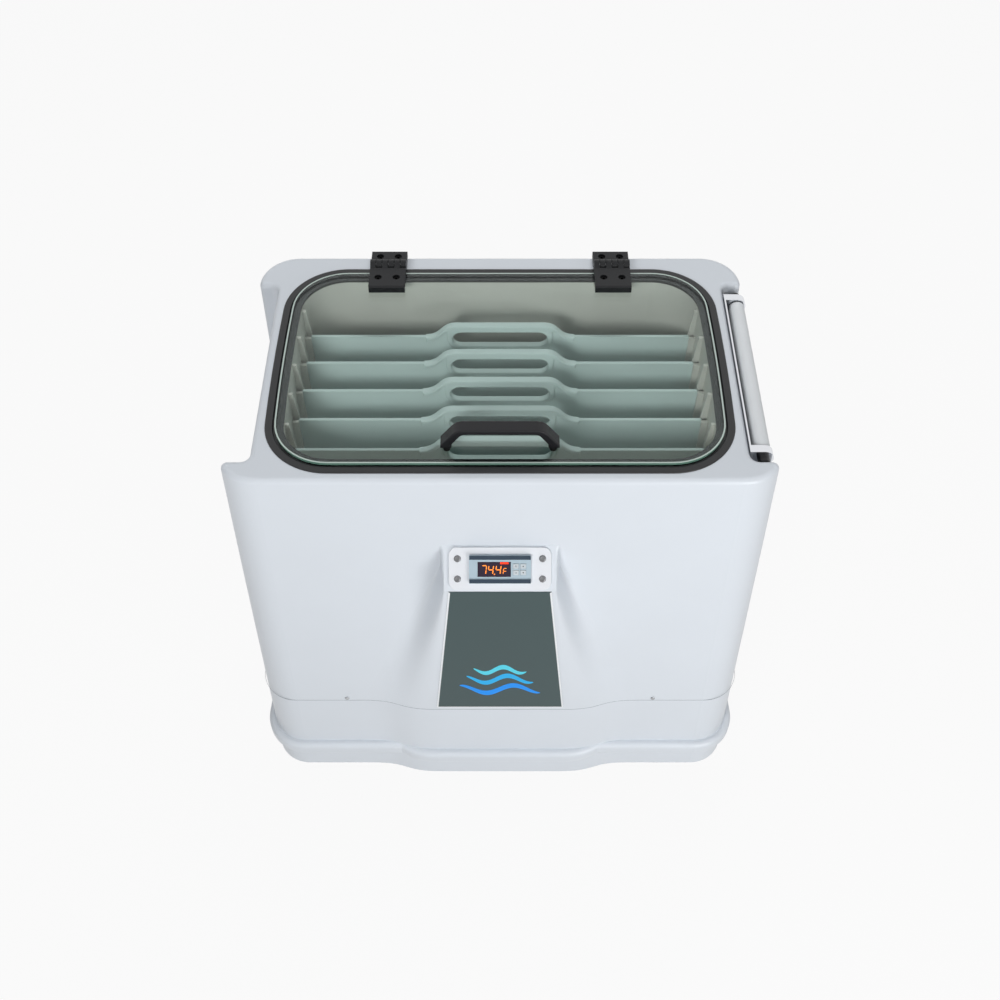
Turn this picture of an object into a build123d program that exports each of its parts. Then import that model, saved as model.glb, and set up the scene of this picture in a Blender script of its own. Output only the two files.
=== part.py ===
from build123d import *

import os
from math import atan2, cos, degrees, hypot, radians, sin, tan

# Moist heat pack heater: a water tank with dividers in a moulded cabinet on four casters.
# Millimetres, +Z up, +Y towards the rear. The origin is on the floor, under the middle
# of the space that the heater fills.

os.makedirs("parts", exist_ok=True)

# ------------------------------------------------------------------ driving dimensions
# Cabinet
deck_z = 765.0
seam_z = 289.0
base_z = 105.0
body_depth = 396.0
rear_width = 630.0
front_flare = 18.0
corner_radius = 50.0
draft_angle = 1.2
wall = 4.0
deck_edge_radius = 7.0
tongue_height = 12.0
tongue_thickness = 3.0
fit_gap = 0.3

# Bumper flange around the base
flange_z = 162.0
flange_height = 26.0
flange_out = 11.0
flange_edge_radius = 8.0

# Side recesses between the corner posts
recess_wall_gap = 15.5
recess_front_gap = 33.0
recess_rear_gap = 57.0
recess_floor_rise = 68.0
recess_slope = 50.0
recess_corner_radius = 11.0
post_edge_radius = 7.0

# Raised console on the front wall
console_nose_out = 42.0
console_nose_drop = 158.0
console_head_drop = 117.0
console_foot_out = 25.0
console_head_half = 68.0
console_foot_half = 92.0
console_head_flank = 7.0
console_foot_flank = 104.0
flank_ease = 0.55

# Lid seal, lid and well
seal_front_gap = 12.0
seal_rear_gap = 27.0
seal_side_gap = 38.5
seal_side_bulge = 4.5
seal_corner_radius = 80.0
seal_bead_width = 9.5
seal_bead_height = 1.5
seal_ledge_drop = 1.8
seal_width_in = 22.0
seal_bead_round = 1.4
well_depth = 8.0
well_shelf = 18.5
glass_inset = 12.0
glass_thickness = 6.0

# Tank
tank_wall = 3.0
tank_flange = 2.5
flange_gap = 1.0
tank_depth = 340.0
tank_draft_angle = 1.0
tank_floor_radius = 14.0
insulation_thickness = 10.0

# Dividers
divider_count = 5
divider_bay_share = 0.14
divider_thickness = 4.0
divider_rail_drop = 48.5
divider_arch_rise = 20.5
divider_arch_half = 57.0
divider_tail_half = 98.0
divider_slot_width = 125.0
divider_slot_height = 24.0
divider_slot_drop = 11.0
divider_rim_width = 7.0
divider_rim_thickness = 10.0
divider_side_gap = 2.5
divider_corner_cut = 6.0
guide_depth = 8.0
guide_lip = 5.0
guide_thickness = 4.0
guide_gap = 1.5
guide_top_drop = 9.0
guide_front_rise = 2.0

# Pack rack and heating element
rack_height = 45.0
rack_bar = 4.0
rack_bar_count = 13
rack_margin = 24.0
rack_leg = 8.0
element_rod_radius = 4.0
element_end_gap = 74.0
element_half_width = 45.0
element_height = 22.0
element_tail = 24.0
nut_flats = 22.0
nut_height = 7.0
probe_radius = 3.5
probe_length = 70.0
probe_end_gap = 34.0

# Hinges
hinge_x = 147.5
hinge_width = 47.0
hinge_axis_gap = 31.0
hinge_axis_rise = 11.7
hinge_barrel_radius = 7.0
hinge_pin_radius = 2.5
hinge_knuckles = 6
knuckle_gap = 0.7
knuckle_pocket = 2.2
hinge_leaf_thickness = 10.0
hinge_lid_reach = 47.0
hinge_chamfer = 2.0
hinge_screw_pitch = 23.7
hinge_screw_gap = 28.0
hinge_body_screw_gap = 12.0
pin_gap = 0.05

# Screws
cap_head_radius = 4.3
cap_head_height = 4.2
cap_socket_flats = 3.4
cap_socket_depth = 2.2
cap_shank_radius = 2.4
counterbore_radius = 4.8
counterbore_depth = 6.5
screw_hole_radius = 2.6

# Lid handle
handle_length = 139.0
handle_width = 17.0
handle_rise = 28.5
handle_strap = 7.0
handle_shoulder = 19.0
handle_foot_height = 3.0
handle_y_gap = 56.0
handle_bend_radius = 16.0
handle_inner_radius = 10.0
handle_foot_width = 11.0
handle_lean = 14.25
handle_edge_radius = 1.6

# Dome nuts under the lid
dome_nut_flats = 10.0
dome_washer = 0.8
dome_hex_height = 4.2
dome_bore = 5.25
glass_edge = 0.8

# Controller
plate_width = 125.0
plate_height = 53.0
plate_thickness = 3.0
plate_corner_radius = 10.0
plate_screw_pitch_x = 103.5
plate_screw_pitch_y = 25.0
plate_screw_head = 1.8
plate_screw_crown = 3.2
bezel_width = 75.0
bezel_height = 34.5
bezel_thickness = 4.0
bezel_bar = 5.5
bezel_bar_rise = 1.2
bezel_corner = 1.0
bezel_floor = 1.0
case_width = 70.5
case_height = 28.5
case_depth = 38.0
case_gap = 0.5
display_x = -7.0
display_width = 40.5
display_height = 18.5
display_thickness = 1.2
button_width = 7.0
button_height = 6.0
button_pitch_x = 8.9
button_pitch_y = 7.9
button_x = 23.7
button_proud = 0.9
button_travel = 0.6
button_gap = 0.2
button_corner = 1.0
button_edge = 0.4

# Console panel
panel_top_width = 126.0
panel_bottom_width = 180.0
panel_top_gap = 0.6
panel_bottom_gap = 8.0
panel_thickness = 0.8

# Folding shelf
shelf_thickness = 20.0
shelf_foot_gap = 78.0
shelf_wall_gap = 17.0
shelf_top_drop = 2.0
shelf_edge_radius = 4.0
bracket_thickness = 2.0
bracket_height = 62.0
bracket_screw_count = 4
bracket_front_gap = 12.0
bracket_rear_gap = 19.0
ear_thickness = 11.0
ear_radius = 12.0
ear_gap = 1.5
pivot_radius = 4.0
pivot_depth = 18.0
cap_radius = 7.2
cap_length = 10.0

# Casters
caster_side_gap = 65.0
caster_end_gap = 63.0
caster_plate = 64.0
caster_plate_thickness = 3.0
caster_plate_corner = 5.0
caster_hole_pitch = 46.0
bolt_radius = 3.0
bolt_hole_radius = 3.3
bolt_flats = 10.0
bolt_head = 4.0
wheel_radius = 37.5
wheel_width = 24.0
wheel_round = 6.0
dish_radius = 24.8
dish_depth = 4.8
tread_radius = 27.8
caster_trail = 24.0
fork_gap = 1.5
fork_thickness = 3.0
race_radius = 24.0
race_height = 6.0
race_gap = 0.3
kingpin_radius = 6.0
rivet_radius = 9.0
rivet_height = 3.0
axle_radius = 4.0
axle_head = 7.0
axle_head_height = 3.0

# Drain and power entry
drain_x = -120.0
drain_rear_gap = 70.0
drain_pipe_radius = 9.0
drain_pipe_wall = 1.5
valve_length = 40.0
valve_radius = 13.0
valve_drop = 30.0
valve_wall = 3.0
stem_radius = 3.5
stem_boss_radius = 7.0
stem_boss_length = 17.0
spout_radius = 8.0
spout_bore = 5.5
spout_length = 24.0
lever_length = 42.0
lever_width = 9.0
lever_thickness = 4.0
lever_hub_radius = 8.0
inlet_x = 150.0
inlet_z = 222.0
inlet_width = 48.0
inlet_height = 27.0
inlet_flange = 3.0
inlet_body_width = 27.0
inlet_body_height = 20.0
inlet_depth = 22.0
inlet_cup_depth = 16.0
inlet_corner = 2.0
inlet_pin_pitch = 7.0
inlet_pin_drop = 2.0
inlet_pin_thickness = 2.0
inlet_pin_width = 4.0
inlet_screw_pitch = 40.0
inlet_screw_radius = 1.5
inlet_screw_head = 3.0
rocker_x = 95.0
rocker_width = 15.0
rocker_height = 21.0
rocker_frame = 3.0
rocker_depth = 18.0
rocker_wall = 1.2
rocker_pin = 1.6
rocker_pin_radius = 1.0
rocker_tilt = 10.0
rocker_gap = 0.4
seam_screw_x = 219.0
seam_screw_rise = 6.0
seam_screw_radius = 3.0
seam_screw_length = 10.0
seam_hole_sides = 12

# ------------------------------------------------------------------ derived places
draft_slope = tan(radians(draft_angle))
tank_slope = tan(radians(tank_draft_angle))
front_width = rear_width + 2 * front_flare
recess_floor_z = seam_z + recess_floor_rise


def growth(height):
    """How far the drafted wall stands out at a height, against the deck's outline."""
    return (deck_z - height) * draft_slope


nose_z = deck_z - console_nose_drop
head_z = deck_z - console_head_drop
head_out = growth(head_z) + fit_gap
tilt_run = console_nose_out - head_out
tilt_rise = head_z - nose_z
tilt_length = hypot(tilt_run, tilt_rise)
plate_edge_radius = plate_thickness / 3
plate_reach = (plate_height / 2 - plate_edge_radius) * tilt_run
plate_reach += (plate_thickness - plate_edge_radius) * tilt_rise
nose_reach = (console_nose_out + head_out) / 2 + plate_reach / tilt_length + plate_edge_radius
flange_reach = growth(flange_z + flange_height / 2) + flange_out
cabinet_y = (nose_reach - flange_reach) / 2
front_y = cabinet_y - body_depth / 2
rear_y = cabinet_y + body_depth / 2

seal_front = front_y + seal_front_gap
seal_rear = rear_y - seal_rear_gap
seal_depth = seal_rear - seal_front
seal_half = rear_width / 2 - seal_side_gap
recess_wall_x = seal_half + recess_wall_gap
seal_base_z = deck_z - well_depth + tank_flange
ledge_top_z = deck_z - seal_ledge_drop
glass_bottom_z = ledge_top_z + fit_gap
glass_top_z = glass_bottom_z + glass_thickness
tank_floor_z = deck_z - tank_depth
tank_outer_inset = seal_width_in - tank_wall
tank_half = seal_half + seal_side_bulge - seal_width_in
rack_top_z = tank_floor_z + rack_height
element_half_length = tank_half - element_end_gap
probe_x = tank_half - probe_end_gap
rail_z = deck_z - divider_rail_drop
divider_pitch = seal_depth * divider_bay_share


def tank_shrink(height):
    """How far the tank's drafted wall has moved in at a height."""
    return (deck_z - height) * tank_slope


def wall_front(height):
    """Y of the front wall at a height."""
    return front_y - growth(height)


def wall_rear(height):
    """Y of the rear wall at a height."""
    return rear_y + growth(height)


def write_piece(piece, name):
    """Label a finished piece and write it to its own file."""
    piece.label = name
    export_step(piece, f"parts/{name}.step")


# ------------------------------------------------------------------ shared outlines
def body_outline(height, inset=0.0):
    """Rounded trapezoid of the moulded cabinet at one height."""
    grow = growth(height) - inset
    front_half = front_width / 2 + grow
    rear_half = rear_width / 2 + grow
    with BuildSketch(Plane.XY.offset(height)) as outline:
        with BuildLine():
            Polyline(
                (-front_half, front_y - grow),
                (front_half, front_y - grow),
                (rear_half, rear_y + grow),
                (-rear_half, rear_y + grow),
                close=True,
            )
        make_face()
        fillet(outline.vertices(), corner_radius - inset)
    return outline.sketch


def lid_outline(height, inset, shrink=0.0):
    """The lid's outline: straight front and rear, bowed sides, round corners."""
    move = inset + shrink
    half = seal_half - move
    front = seal_front + move
    rear = seal_rear - move
    middle = (front + rear) / 2
    with BuildSketch(Plane.XY.offset(height)) as outline:
        with BuildLine():
            Line((-half, front), (half, front))
            ThreePointArc((half, front), (half + seal_side_bulge, middle), (half, rear))
            Line((half, rear), (-half, rear))
            ThreePointArc((-half, rear), (-half - seal_side_bulge, middle), (-half, front))
        make_face()
        fillet(outline.vertices(), seal_corner_radius - inset)
    return outline.sketch


def console_section(height, out, half, flank, inset=0.0):
    """The console's plan at one height: a flat front with flanks that run out to the wall."""
    wall_y = wall_front(height)
    front = front_y - out + inset
    flat = half - inset
    foot = half + flank - inset
    back = wall_y + corner_radius / 2
    lead = flank * flank_ease
    with BuildSketch(Plane.XY.offset(height)) as section:
        with BuildLine():
            Line((-foot, back), (foot, back))
            Line((foot, back), (foot, wall_y))
            Bezier((foot, wall_y), (foot - lead, wall_y), (flat + lead, front), (flat, front))
            Line((flat, front), (-flat, front))
            Bezier((-flat, front), (-flat - lead, front), (-foot + lead, wall_y), (-foot, wall_y))
            Line((-foot, wall_y), (-foot, back))
        make_face()
    return section.sketch


def foot_reach(height):
    """How far the console's foot stands out from the deck's front line at a height."""
    return console_foot_out + growth(height) - growth(seam_z)


# ------------------------------------------------------------------ cabinet
def recess_block(side, grow):
    """The space of one side recess, with a scooped floor, grown for the wall behind it."""
    inner = recess_wall_x - grow
    outer = front_width
    front = front_y + recess_front_gap - grow
    rear = rear_y - recess_rear_gap + grow
    fade = recess_slope + grow
    with BuildPart() as block:
        for height, inner_x in (
            (deck_z + wall, inner),
            (recess_floor_z - grow, inner),
            (recess_floor_z - fade, inner + recess_slope),
        ):
            with BuildSketch(Plane.XY.offset(height)) as section:
                with BuildLine():
                    Polyline(
                        (side * inner_x, front),
                        (side * outer, front),
                        (side * outer, rear),
                        (side * inner_x, rear),
                        close=True,
                    )
                make_face()
                fillet(
                    section.vertices().filter_by(lambda corner: abs(corner.X) < outer - wall),
                    recess_corner_radius + grow,
                )
        loft(ruled=True)
    return block.part


with BuildPart() as housing_cavity:
    add(body_outline(seam_z - wall, wall))
    add(body_outline(deck_z - wall, wall))
    loft(ruled=True)
    for side in (-1, 1):
        add(recess_block(side, wall), mode=Mode.SUBTRACT)
    add(lid_outline(deck_z - wall, -wall))
    extrude(amount=-well_depth, mode=Mode.SUBTRACT)

with BuildPart() as console_hollow:
    foot_out = foot_reach(seam_z)
    hollow_out = growth(head_z) + wall * 2
    add(console_section(seam_z - wall, foot_out, console_foot_half, console_foot_flank, wall))
    add(console_section(nose_z, console_nose_out, console_head_half, console_head_flank, wall))
    add(console_section(head_z - wall, hollow_out, console_head_half, console_head_flank, wall))
    loft(ruled=True)

recess_front = front_y + recess_front_gap
recess_rear = rear_y - recess_rear_gap
seam_front = Plane(
    origin=(0, wall_front(seam_z), seam_z + seam_screw_rise),
    x_dir=(1, 0, 0),
    z_dir=(0, -cos(radians(draft_angle)), sin(radians(draft_angle))),
)
controller_plane = Plane(
    origin=(0, front_y - (console_nose_out + head_out) / 2, (head_z + nose_z) / 2),
    x_dir=(1, 0, 0),
    z_dir=(0, -tilt_rise, tilt_run),
)
hinge_axis_y = rear_y - hinge_axis_gap
hinge_axis_z = deck_z + hinge_axis_rise
hinge_body_screw_y = rear_y - hinge_body_screw_gap
hinge_lid_screw_y = hinge_axis_y - hinge_screw_gap
bracket_front = recess_front + bracket_front_gap
bracket_rear = recess_rear - bracket_rear_gap
bracket_middle = (bracket_front + bracket_rear) / 2
shelf_length = bracket_rear - bracket_front - 2 * (ear_gap + ear_thickness)
shelf_height = deck_z - recess_floor_z - shelf_foot_gap
shelf_x = recess_wall_x + shelf_wall_gap
pivot_z = deck_z - shelf_top_drop - shelf_thickness / 2

with BuildPart() as upper_housing:
    add(body_outline(seam_z))
    add(body_outline(deck_z))
    loft(ruled=True)
    for side in (-1, 1):
        add(recess_block(side, 0.0), mode=Mode.SUBTRACT)
    lips = upper_housing.edges().filter_by(
        lambda edge: edge.length > (deck_z - recess_floor_z) / 2
        and min(abs(edge.center().Y - recess_front), abs(edge.center().Y - recess_rear)) < wall
        and abs(edge.center().X) > recess_wall_x + recess_corner_radius
    )
    fillet(lips, post_edge_radius)
    deck_rim = upper_housing.faces().sort_by(Axis.Z)[-1].outer_wire().edges()
    fillet(deck_rim, min(deck_edge_radius, post_edge_radius))
    add(console_section(seam_z, foot_reach(seam_z), console_foot_half, console_foot_flank))
    add(console_section(nose_z, console_nose_out, console_head_half, console_head_flank))
    add(console_section(head_z, head_out, console_head_half, console_head_flank))
    loft(ruled=True)
    add(housing_cavity.part, mode=Mode.SUBTRACT)
    add(console_hollow.part, mode=Mode.SUBTRACT)
    add(lid_outline(deck_z, 0))
    extrude(amount=-well_depth, mode=Mode.SUBTRACT)
    add(lid_outline(deck_z, well_shelf))
    extrude(amount=-2 * well_depth, mode=Mode.SUBTRACT)
    with BuildSketch(controller_plane):
        Rectangle(case_width + 2 * wall, case_height + 2 * wall)
    extrude(amount=-(case_depth + wall), mode=Mode.SUBTRACT)
    with Locations(controller_plane):
        with GridLocations(plate_screw_pitch_x, plate_screw_pitch_y, 2, 2):
            Hole(screw_hole_radius, depth=wall * 3)
    with Locations((-hinge_x, hinge_body_screw_y, deck_z), (hinge_x, hinge_body_screw_y, deck_z)):
        with GridLocations(hinge_screw_pitch, 1, 2, 1):
            Hole(screw_hole_radius, depth=wall * 2)
    with BuildSketch(seam_front):
        with Locations((-seam_screw_x, 0), (seam_screw_x, 0)):
            RegularPolygon(screw_hole_radius, seam_hole_sides, major_radius=False)
    extrude(amount=wall * 2, both=True, mode=Mode.SUBTRACT)
write_piece(upper_housing.part, "upper_housing")


def drafted_ring(bottom, top, outer_inset, inner_inset):
    """A band that follows the inside of the cabinet's drafted wall."""
    with BuildPart() as ring:
        for height in (bottom, top):
            add(body_outline(height, outer_inset))
        loft(ruled=True)
        for height in (bottom, top):
            add(body_outline(height, inner_inset))
        loft(ruled=True, mode=Mode.SUBTRACT)
    return ring.part


with BuildPart() as base_cavity:
    add(body_outline(base_z + wall, wall))
    add(body_outline(seam_z + wall, wall))
    loft(ruled=True)
    for height in (base_z + wall, seam_z + wall):
        reach = foot_reach(min(height, seam_z))
        add(console_section(height, reach, console_foot_half, console_foot_flank, wall))
    loft(ruled=True)

rear_wall = Plane(
    origin=(0, wall_rear(inlet_z), inlet_z),
    x_dir=(-1, 0, 0),
    z_dir=(0, cos(radians(draft_angle)), sin(radians(draft_angle))),
)
caster_x = front_width / 2 - caster_side_gap
caster_y = body_depth / 2 - caster_end_gap
caster_places = [
    (side * caster_x, cabinet_y + end * caster_y, base_z) for end in (-1, 1) for side in (-1, 1)
]
valve_y = rear_y - drain_rear_gap

with BuildPart() as base_housing:
    add(body_outline(flange_z + flange_height / 2, -flange_out))
    extrude(amount=-flange_height)
    flange_face_z = flange_z + flange_height / 2
    add(
        console_section(
            flange_face_z,
            foot_reach(flange_face_z) + flange_out,
            console_foot_half,
            console_foot_flank,
        )
    )
    extrude(amount=-flange_height)
    fillet(base_housing.faces().sort_by(Axis.Z)[-1].edges(), flange_edge_radius)
    fillet(base_housing.faces().sort_by(Axis.Z)[0].edges(), flange_edge_radius)
    add(body_outline(base_z))
    add(body_outline(seam_z))
    loft(ruled=True)
    add(console_section(base_z, foot_reach(base_z), console_foot_half, console_foot_flank))
    add(console_section(seam_z, foot_reach(seam_z), console_foot_half, console_foot_flank))
    loft(ruled=True)
    add(base_cavity.part, mode=Mode.SUBTRACT)
    tongue_foot = seam_z - tongue_height
    tongue_inset = wall + tongue_thickness
    add(drafted_ring(tongue_foot, seam_z + tongue_height, wall + fit_gap, tongue_inset))
    add(drafted_ring(tongue_foot, seam_z, wall - fit_gap, tongue_inset))
    with Locations(seam_front):
        with Locations((-seam_screw_x, 0), (seam_screw_x, 0)):
            Hole(screw_hole_radius, depth=wall * 3)
    with Locations(*[Plane(origin=place) for place in caster_places]):
        with GridLocations(caster_hole_pitch, caster_hole_pitch, 2, 2):
            Hole(bolt_hole_radius, depth=wall * 2)
    with Locations((drain_x, valve_y, base_z)):
        Hole(drain_pipe_radius + fit_gap, depth=wall * 2)
    with BuildSketch(rear_wall):
        with Locations((-inlet_x, 0)):
            Rectangle(inlet_body_width + 2 * fit_gap, inlet_body_height + 2 * fit_gap)
        with Locations((-rocker_x, 0)):
            Rectangle(rocker_width + 2 * fit_gap, rocker_height + 2 * fit_gap)
        with Locations((-inlet_x, 0)):
            with GridLocations(inlet_screw_pitch, 1, 2, 1):
                Circle(inlet_screw_radius + pin_gap)
    extrude(amount=-wall * 2, mode=Mode.SUBTRACT)
write_piece(base_housing.part, "base_housing")

with BuildPart() as seam_screws:
    with Locations(seam_front):
        with Locations((-seam_screw_x, 0), (seam_screw_x, 0)):
            Cylinder(
                seam_screw_radius,
                seam_screw_radius / 2,
                align=(Align.CENTER, Align.CENTER, Align.MIN),
            )
            Cylinder(cap_shank_radius, seam_screw_length, align=(Align.CENTER, Align.CENTER, Align.MAX))
    heads = seam_screws.faces().sort_by(Axis.Y)[:2]
    chamfer(heads.edges(), seam_screw_radius / 6)
write_piece(seam_screws.part, "seam_screws")

# ------------------------------------------------------------------ tank
def tank_block(top, bottom, inset):
    """Drafted block with the tank's rounded plan between two heights."""
    with BuildPart() as block:
        for height in (top, bottom):
            add(lid_outline(height, inset, tank_shrink(height)))
        loft(ruled=True)
    return block.part


def divider_y(index):
    """Y of the middle of one divider, counted from the front."""
    return (seal_front + seal_rear) / 2 + (index - (divider_count - 1) / 2) * divider_pitch


def tank_side(place_y):
    """Half width inside the tank at deck level, at one place along its bowed side."""
    share = (place_y - (seal_front + seal_rear) / 2) / (seal_depth / 2)
    return seal_half - seal_width_in + seal_side_bulge * (1 - share**2)


guide_half_gap = divider_thickness / 2 + guide_gap


def guide_rib(side, start, heights_and_depths):
    """One rib on the tank's side wall: an upright plate with the given inner edge."""
    bite = tank_wall / 2
    side_limit = tank_side(start + guide_thickness / 2)
    foot_z = tank_floor_z - bite
    inner_edge = [
        (side * (side_limit - tank_shrink(height) - depth), height)
        for height, depth in heights_and_depths + [(foot_z, guide_depth)]
    ]
    top_z = heights_and_depths[0][0]
    with BuildPart() as rib:
        with BuildSketch(Plane.XZ.offset(-start)):
            with BuildLine():
                Polyline(
                    (side * (side_limit - tank_shrink(top_z) + bite), top_z),
                    *inner_edge,
                    (side * (side_limit - tank_shrink(foot_z) + bite), foot_z),
                    close=True,
                )
            make_face()
        extrude(amount=-guide_thickness)
    return rib.part


with BuildPart() as tank_space:
    add(tank_block(deck_z, tank_floor_z, seal_width_in))
    fillet(tank_space.faces().sort_by(Axis.Z)[0].edges(), tank_floor_radius)

with BuildPart() as water_tank:
    add(tank_block(deck_z - well_depth, tank_floor_z - tank_wall, tank_outer_inset))
    fillet(water_tank.faces().sort_by(Axis.Z)[0].edges(), tank_floor_radius + tank_wall)
    add(lid_outline(deck_z - well_depth, flange_gap))
    extrude(amount=tank_flange)
    add(tank_space.part, mode=Mode.SUBTRACT)
    for side in (-1, 1):
        for index in range(divider_count):
            rear_start = divider_y(index) + guide_half_gap
            rear_edge = [(deck_z - guide_top_drop, guide_lip), (rail_z, guide_depth)]
            add(guide_rib(side, rear_start, rear_edge))
            front_start = divider_y(index) - guide_half_gap - guide_thickness
            add(guide_rib(side, front_start, [(rail_z + guide_front_rise, guide_depth)]))
    with Locations((drain_x, valve_y, tank_floor_z)):
        Hole(drain_pipe_radius + pin_gap, depth=tank_wall * 2)
    with Locations((element_half_length, 0, tank_floor_z)):
        with Locations((0, cabinet_y - element_half_width), (0, cabinet_y + element_half_width)):
            Hole(element_rod_radius + pin_gap, depth=tank_wall * 2)
    with Locations((probe_x, cabinet_y, tank_floor_z)):
        Hole(probe_radius + pin_gap, depth=tank_wall * 2)
write_piece(water_tank.part, "water_tank")

with BuildPart() as tank_insulation:
    jacket_top = deck_z - 2 * well_depth
    jacket_bottom = tank_floor_z - tank_wall - fit_gap - insulation_thickness
    jacket_floor = tank_floor_z - tank_wall - fit_gap
    jacket_inset = tank_outer_inset - fit_gap
    add(tank_block(jacket_top, jacket_bottom, jacket_inset - insulation_thickness))
    add(tank_block(jacket_top, jacket_floor, jacket_inset), mode=Mode.SUBTRACT)
    with Locations((drain_x, valve_y, tank_floor_z)):
        Hole(drain_pipe_radius + insulation_thickness / 2, depth=insulation_thickness * 3)
    with BuildSketch(Plane.XY.offset(jacket_bottom)):
        with Locations((element_half_length, cabinet_y), (probe_x, cabinet_y)):
            SlotOverall(2 * (element_half_width + nut_flats), 2 * nut_flats, rotation=90)
    extrude(amount=insulation_thickness * 2, mode=Mode.SUBTRACT)
write_piece(tank_insulation.part, "tank_insulation")

with BuildPart() as lid_seal:
    add(lid_outline(seal_base_z, 0.0))
    extrude(amount=deck_z + seal_bead_height - seal_base_z)
    add(lid_outline(ledge_top_z, seal_bead_width))
    extrude(amount=well_depth, mode=Mode.SUBTRACT)
    fillet(lid_seal.faces().sort_by(Axis.Z)[-1].edges(), seal_bead_round)
    add(lid_outline(seal_base_z, seal_width_in))
    extrude(amount=well_depth, mode=Mode.SUBTRACT)
write_piece(lid_seal.part, "lid_seal")

with BuildPart() as pack_rack:
    rack_half = tank_half - guide_depth - tank_shrink(tank_floor_z) - rack_margin
    rack_front = seal_front + seal_width_in + tank_shrink(tank_floor_z) + rack_margin
    rack_rear = seal_rear - seal_width_in - tank_shrink(tank_floor_z) - rack_margin
    rack_middle = (rack_front + rack_rear) / 2
    with BuildSketch(Plane.XY.offset(rack_top_z - rack_bar)):
        with Locations((0, rack_middle)):
            Rectangle(2 * rack_half, rack_rear - rack_front)
            Rectangle(
                2 * (rack_half - rack_leg), rack_rear - rack_front - 2 * rack_leg, mode=Mode.SUBTRACT
            )
            bar_pitch = 2 * rack_half / (rack_bar_count + 1)
            with GridLocations(bar_pitch, 1, rack_bar_count, 1):
                Rectangle(rack_bar, rack_rear - rack_front)
    extrude(amount=rack_bar)
    with BuildSketch(Plane.XY.offset(tank_floor_z)):
        with Locations((0, rack_middle)):
            with GridLocations(2 * rack_half - rack_leg, rack_rear - rack_front - rack_leg, 2, 2):
                Rectangle(rack_leg, rack_leg)
    extrude(amount=rack_height - rack_bar)
write_piece(pack_rack.part, "pack_rack")

element_z = tank_floor_z + element_height
tail_z = tank_floor_z - tank_wall - element_tail
with BuildPart() as heating_element:
    with BuildLine() as element_path:
        FilletPolyline(
            (element_half_length, cabinet_y - element_half_width, tail_z),
            (element_half_length, cabinet_y - element_half_width, element_z),
            (-element_half_length, cabinet_y - element_half_width, element_z),
            (-element_half_length, cabinet_y + element_half_width, element_z),
            (element_half_length, cabinet_y + element_half_width, element_z),
            (element_half_length, cabinet_y + element_half_width, tail_z),
            radius=element_height / 2 + element_rod_radius,
        )
    with BuildSketch(Plane.XY.offset(tail_z)):
        with Locations((element_half_length, cabinet_y - element_half_width)):
            Circle(element_rod_radius)
    sweep(path=element_path.line)
write_piece(heating_element.part, "heating_element")

nut_places = [
    (element_half_length, cabinet_y - element_half_width, element_rod_radius),
    (element_half_length, cabinet_y + element_half_width, element_rod_radius),
    (probe_x, cabinet_y, probe_radius),
]
with BuildPart() as gland_nuts:
    for place_x, place_y, rod_radius in nut_places:
        with BuildSketch(Plane.XY.offset(tank_floor_z - tank_wall)):
            with Locations((place_x, place_y)):
                RegularPolygon(nut_flats / 2, 6, major_radius=False)
                Circle(rod_radius + pin_gap, mode=Mode.SUBTRACT)
        extrude(amount=-nut_height)
write_piece(gland_nuts.part, "gland_nuts")

with BuildPart() as temperature_probe:
    with BuildSketch(Plane.XY.offset(tail_z)):
        with Locations((probe_x, cabinet_y)):
            Circle(probe_radius)
    extrude(amount=tank_wall + element_tail + min(probe_length, rack_height - rack_bar * 2))
    fillet(temperature_probe.edges().sort_by(Axis.Z)[-1], probe_radius / 2)
write_piece(temperature_probe.part, "temperature_probe")

# ------------------------------------------------------------------ hinges and lid
knuckle_width = (hinge_width - (hinge_knuckles - 1) * knuckle_gap) / hinge_knuckles
knuckle_pitch = knuckle_width + knuckle_gap


def knuckle_centres(first):
    """X of every second knuckle of one hinge, from its left end."""
    left = -hinge_width / 2 + knuckle_width / 2
    return [left + index * knuckle_pitch for index in range(first, hinge_knuckles, 2)]


def hinge_leaf(centre_x, first, foot_start, foot_end, foot_bottom, foot_top, screw_y):
    """One leaf: a thick foot, its knuckles round the pin, and two counterbored holes."""
    direction = 1 if foot_end > hinge_axis_y else -1
    with BuildPart() as leaf:
        with BuildSketch(Plane.YZ.offset(centre_x - hinge_width / 2)):
            with BuildLine():
                Polyline(
                    (foot_start, foot_bottom),
                    (foot_end, foot_bottom),
                    (foot_end, foot_top - hinge_chamfer),
                    (foot_end - direction * hinge_chamfer, foot_top),
                    (foot_start, foot_top),
                    close=True,
                )
            make_face()
        extrude(amount=hinge_width)
        for knuckle_x in knuckle_centres(first):
            with BuildSketch(Plane.YZ.offset(centre_x + knuckle_x - knuckle_width / 2)):
                with Locations((hinge_axis_y, hinge_axis_z)):
                    Circle(hinge_barrel_radius)
                with BuildLine():
                    Polyline(
                        (hinge_axis_y, hinge_axis_z + hinge_barrel_radius),
                        (hinge_axis_y, hinge_axis_z - hinge_barrel_radius),
                        (foot_start + direction, max(foot_bottom, hinge_axis_z - hinge_barrel_radius)),
                        (foot_start + direction, foot_top),
                        close=True,
                    )
                make_face()
            extrude(amount=knuckle_width)
        with BuildSketch(Plane.YZ.offset(centre_x - hinge_width)):
            with Locations((hinge_axis_y, hinge_axis_z)):
                Circle(hinge_pin_radius + pin_gap)
        extrude(amount=hinge_width * 2, mode=Mode.SUBTRACT)
        with Locations((centre_x, screw_y, foot_top)):
            with GridLocations(hinge_screw_pitch, 1, 2, 1):
                CounterBoreHole(screw_hole_radius, counterbore_radius, counterbore_depth)
    return leaf.part


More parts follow.
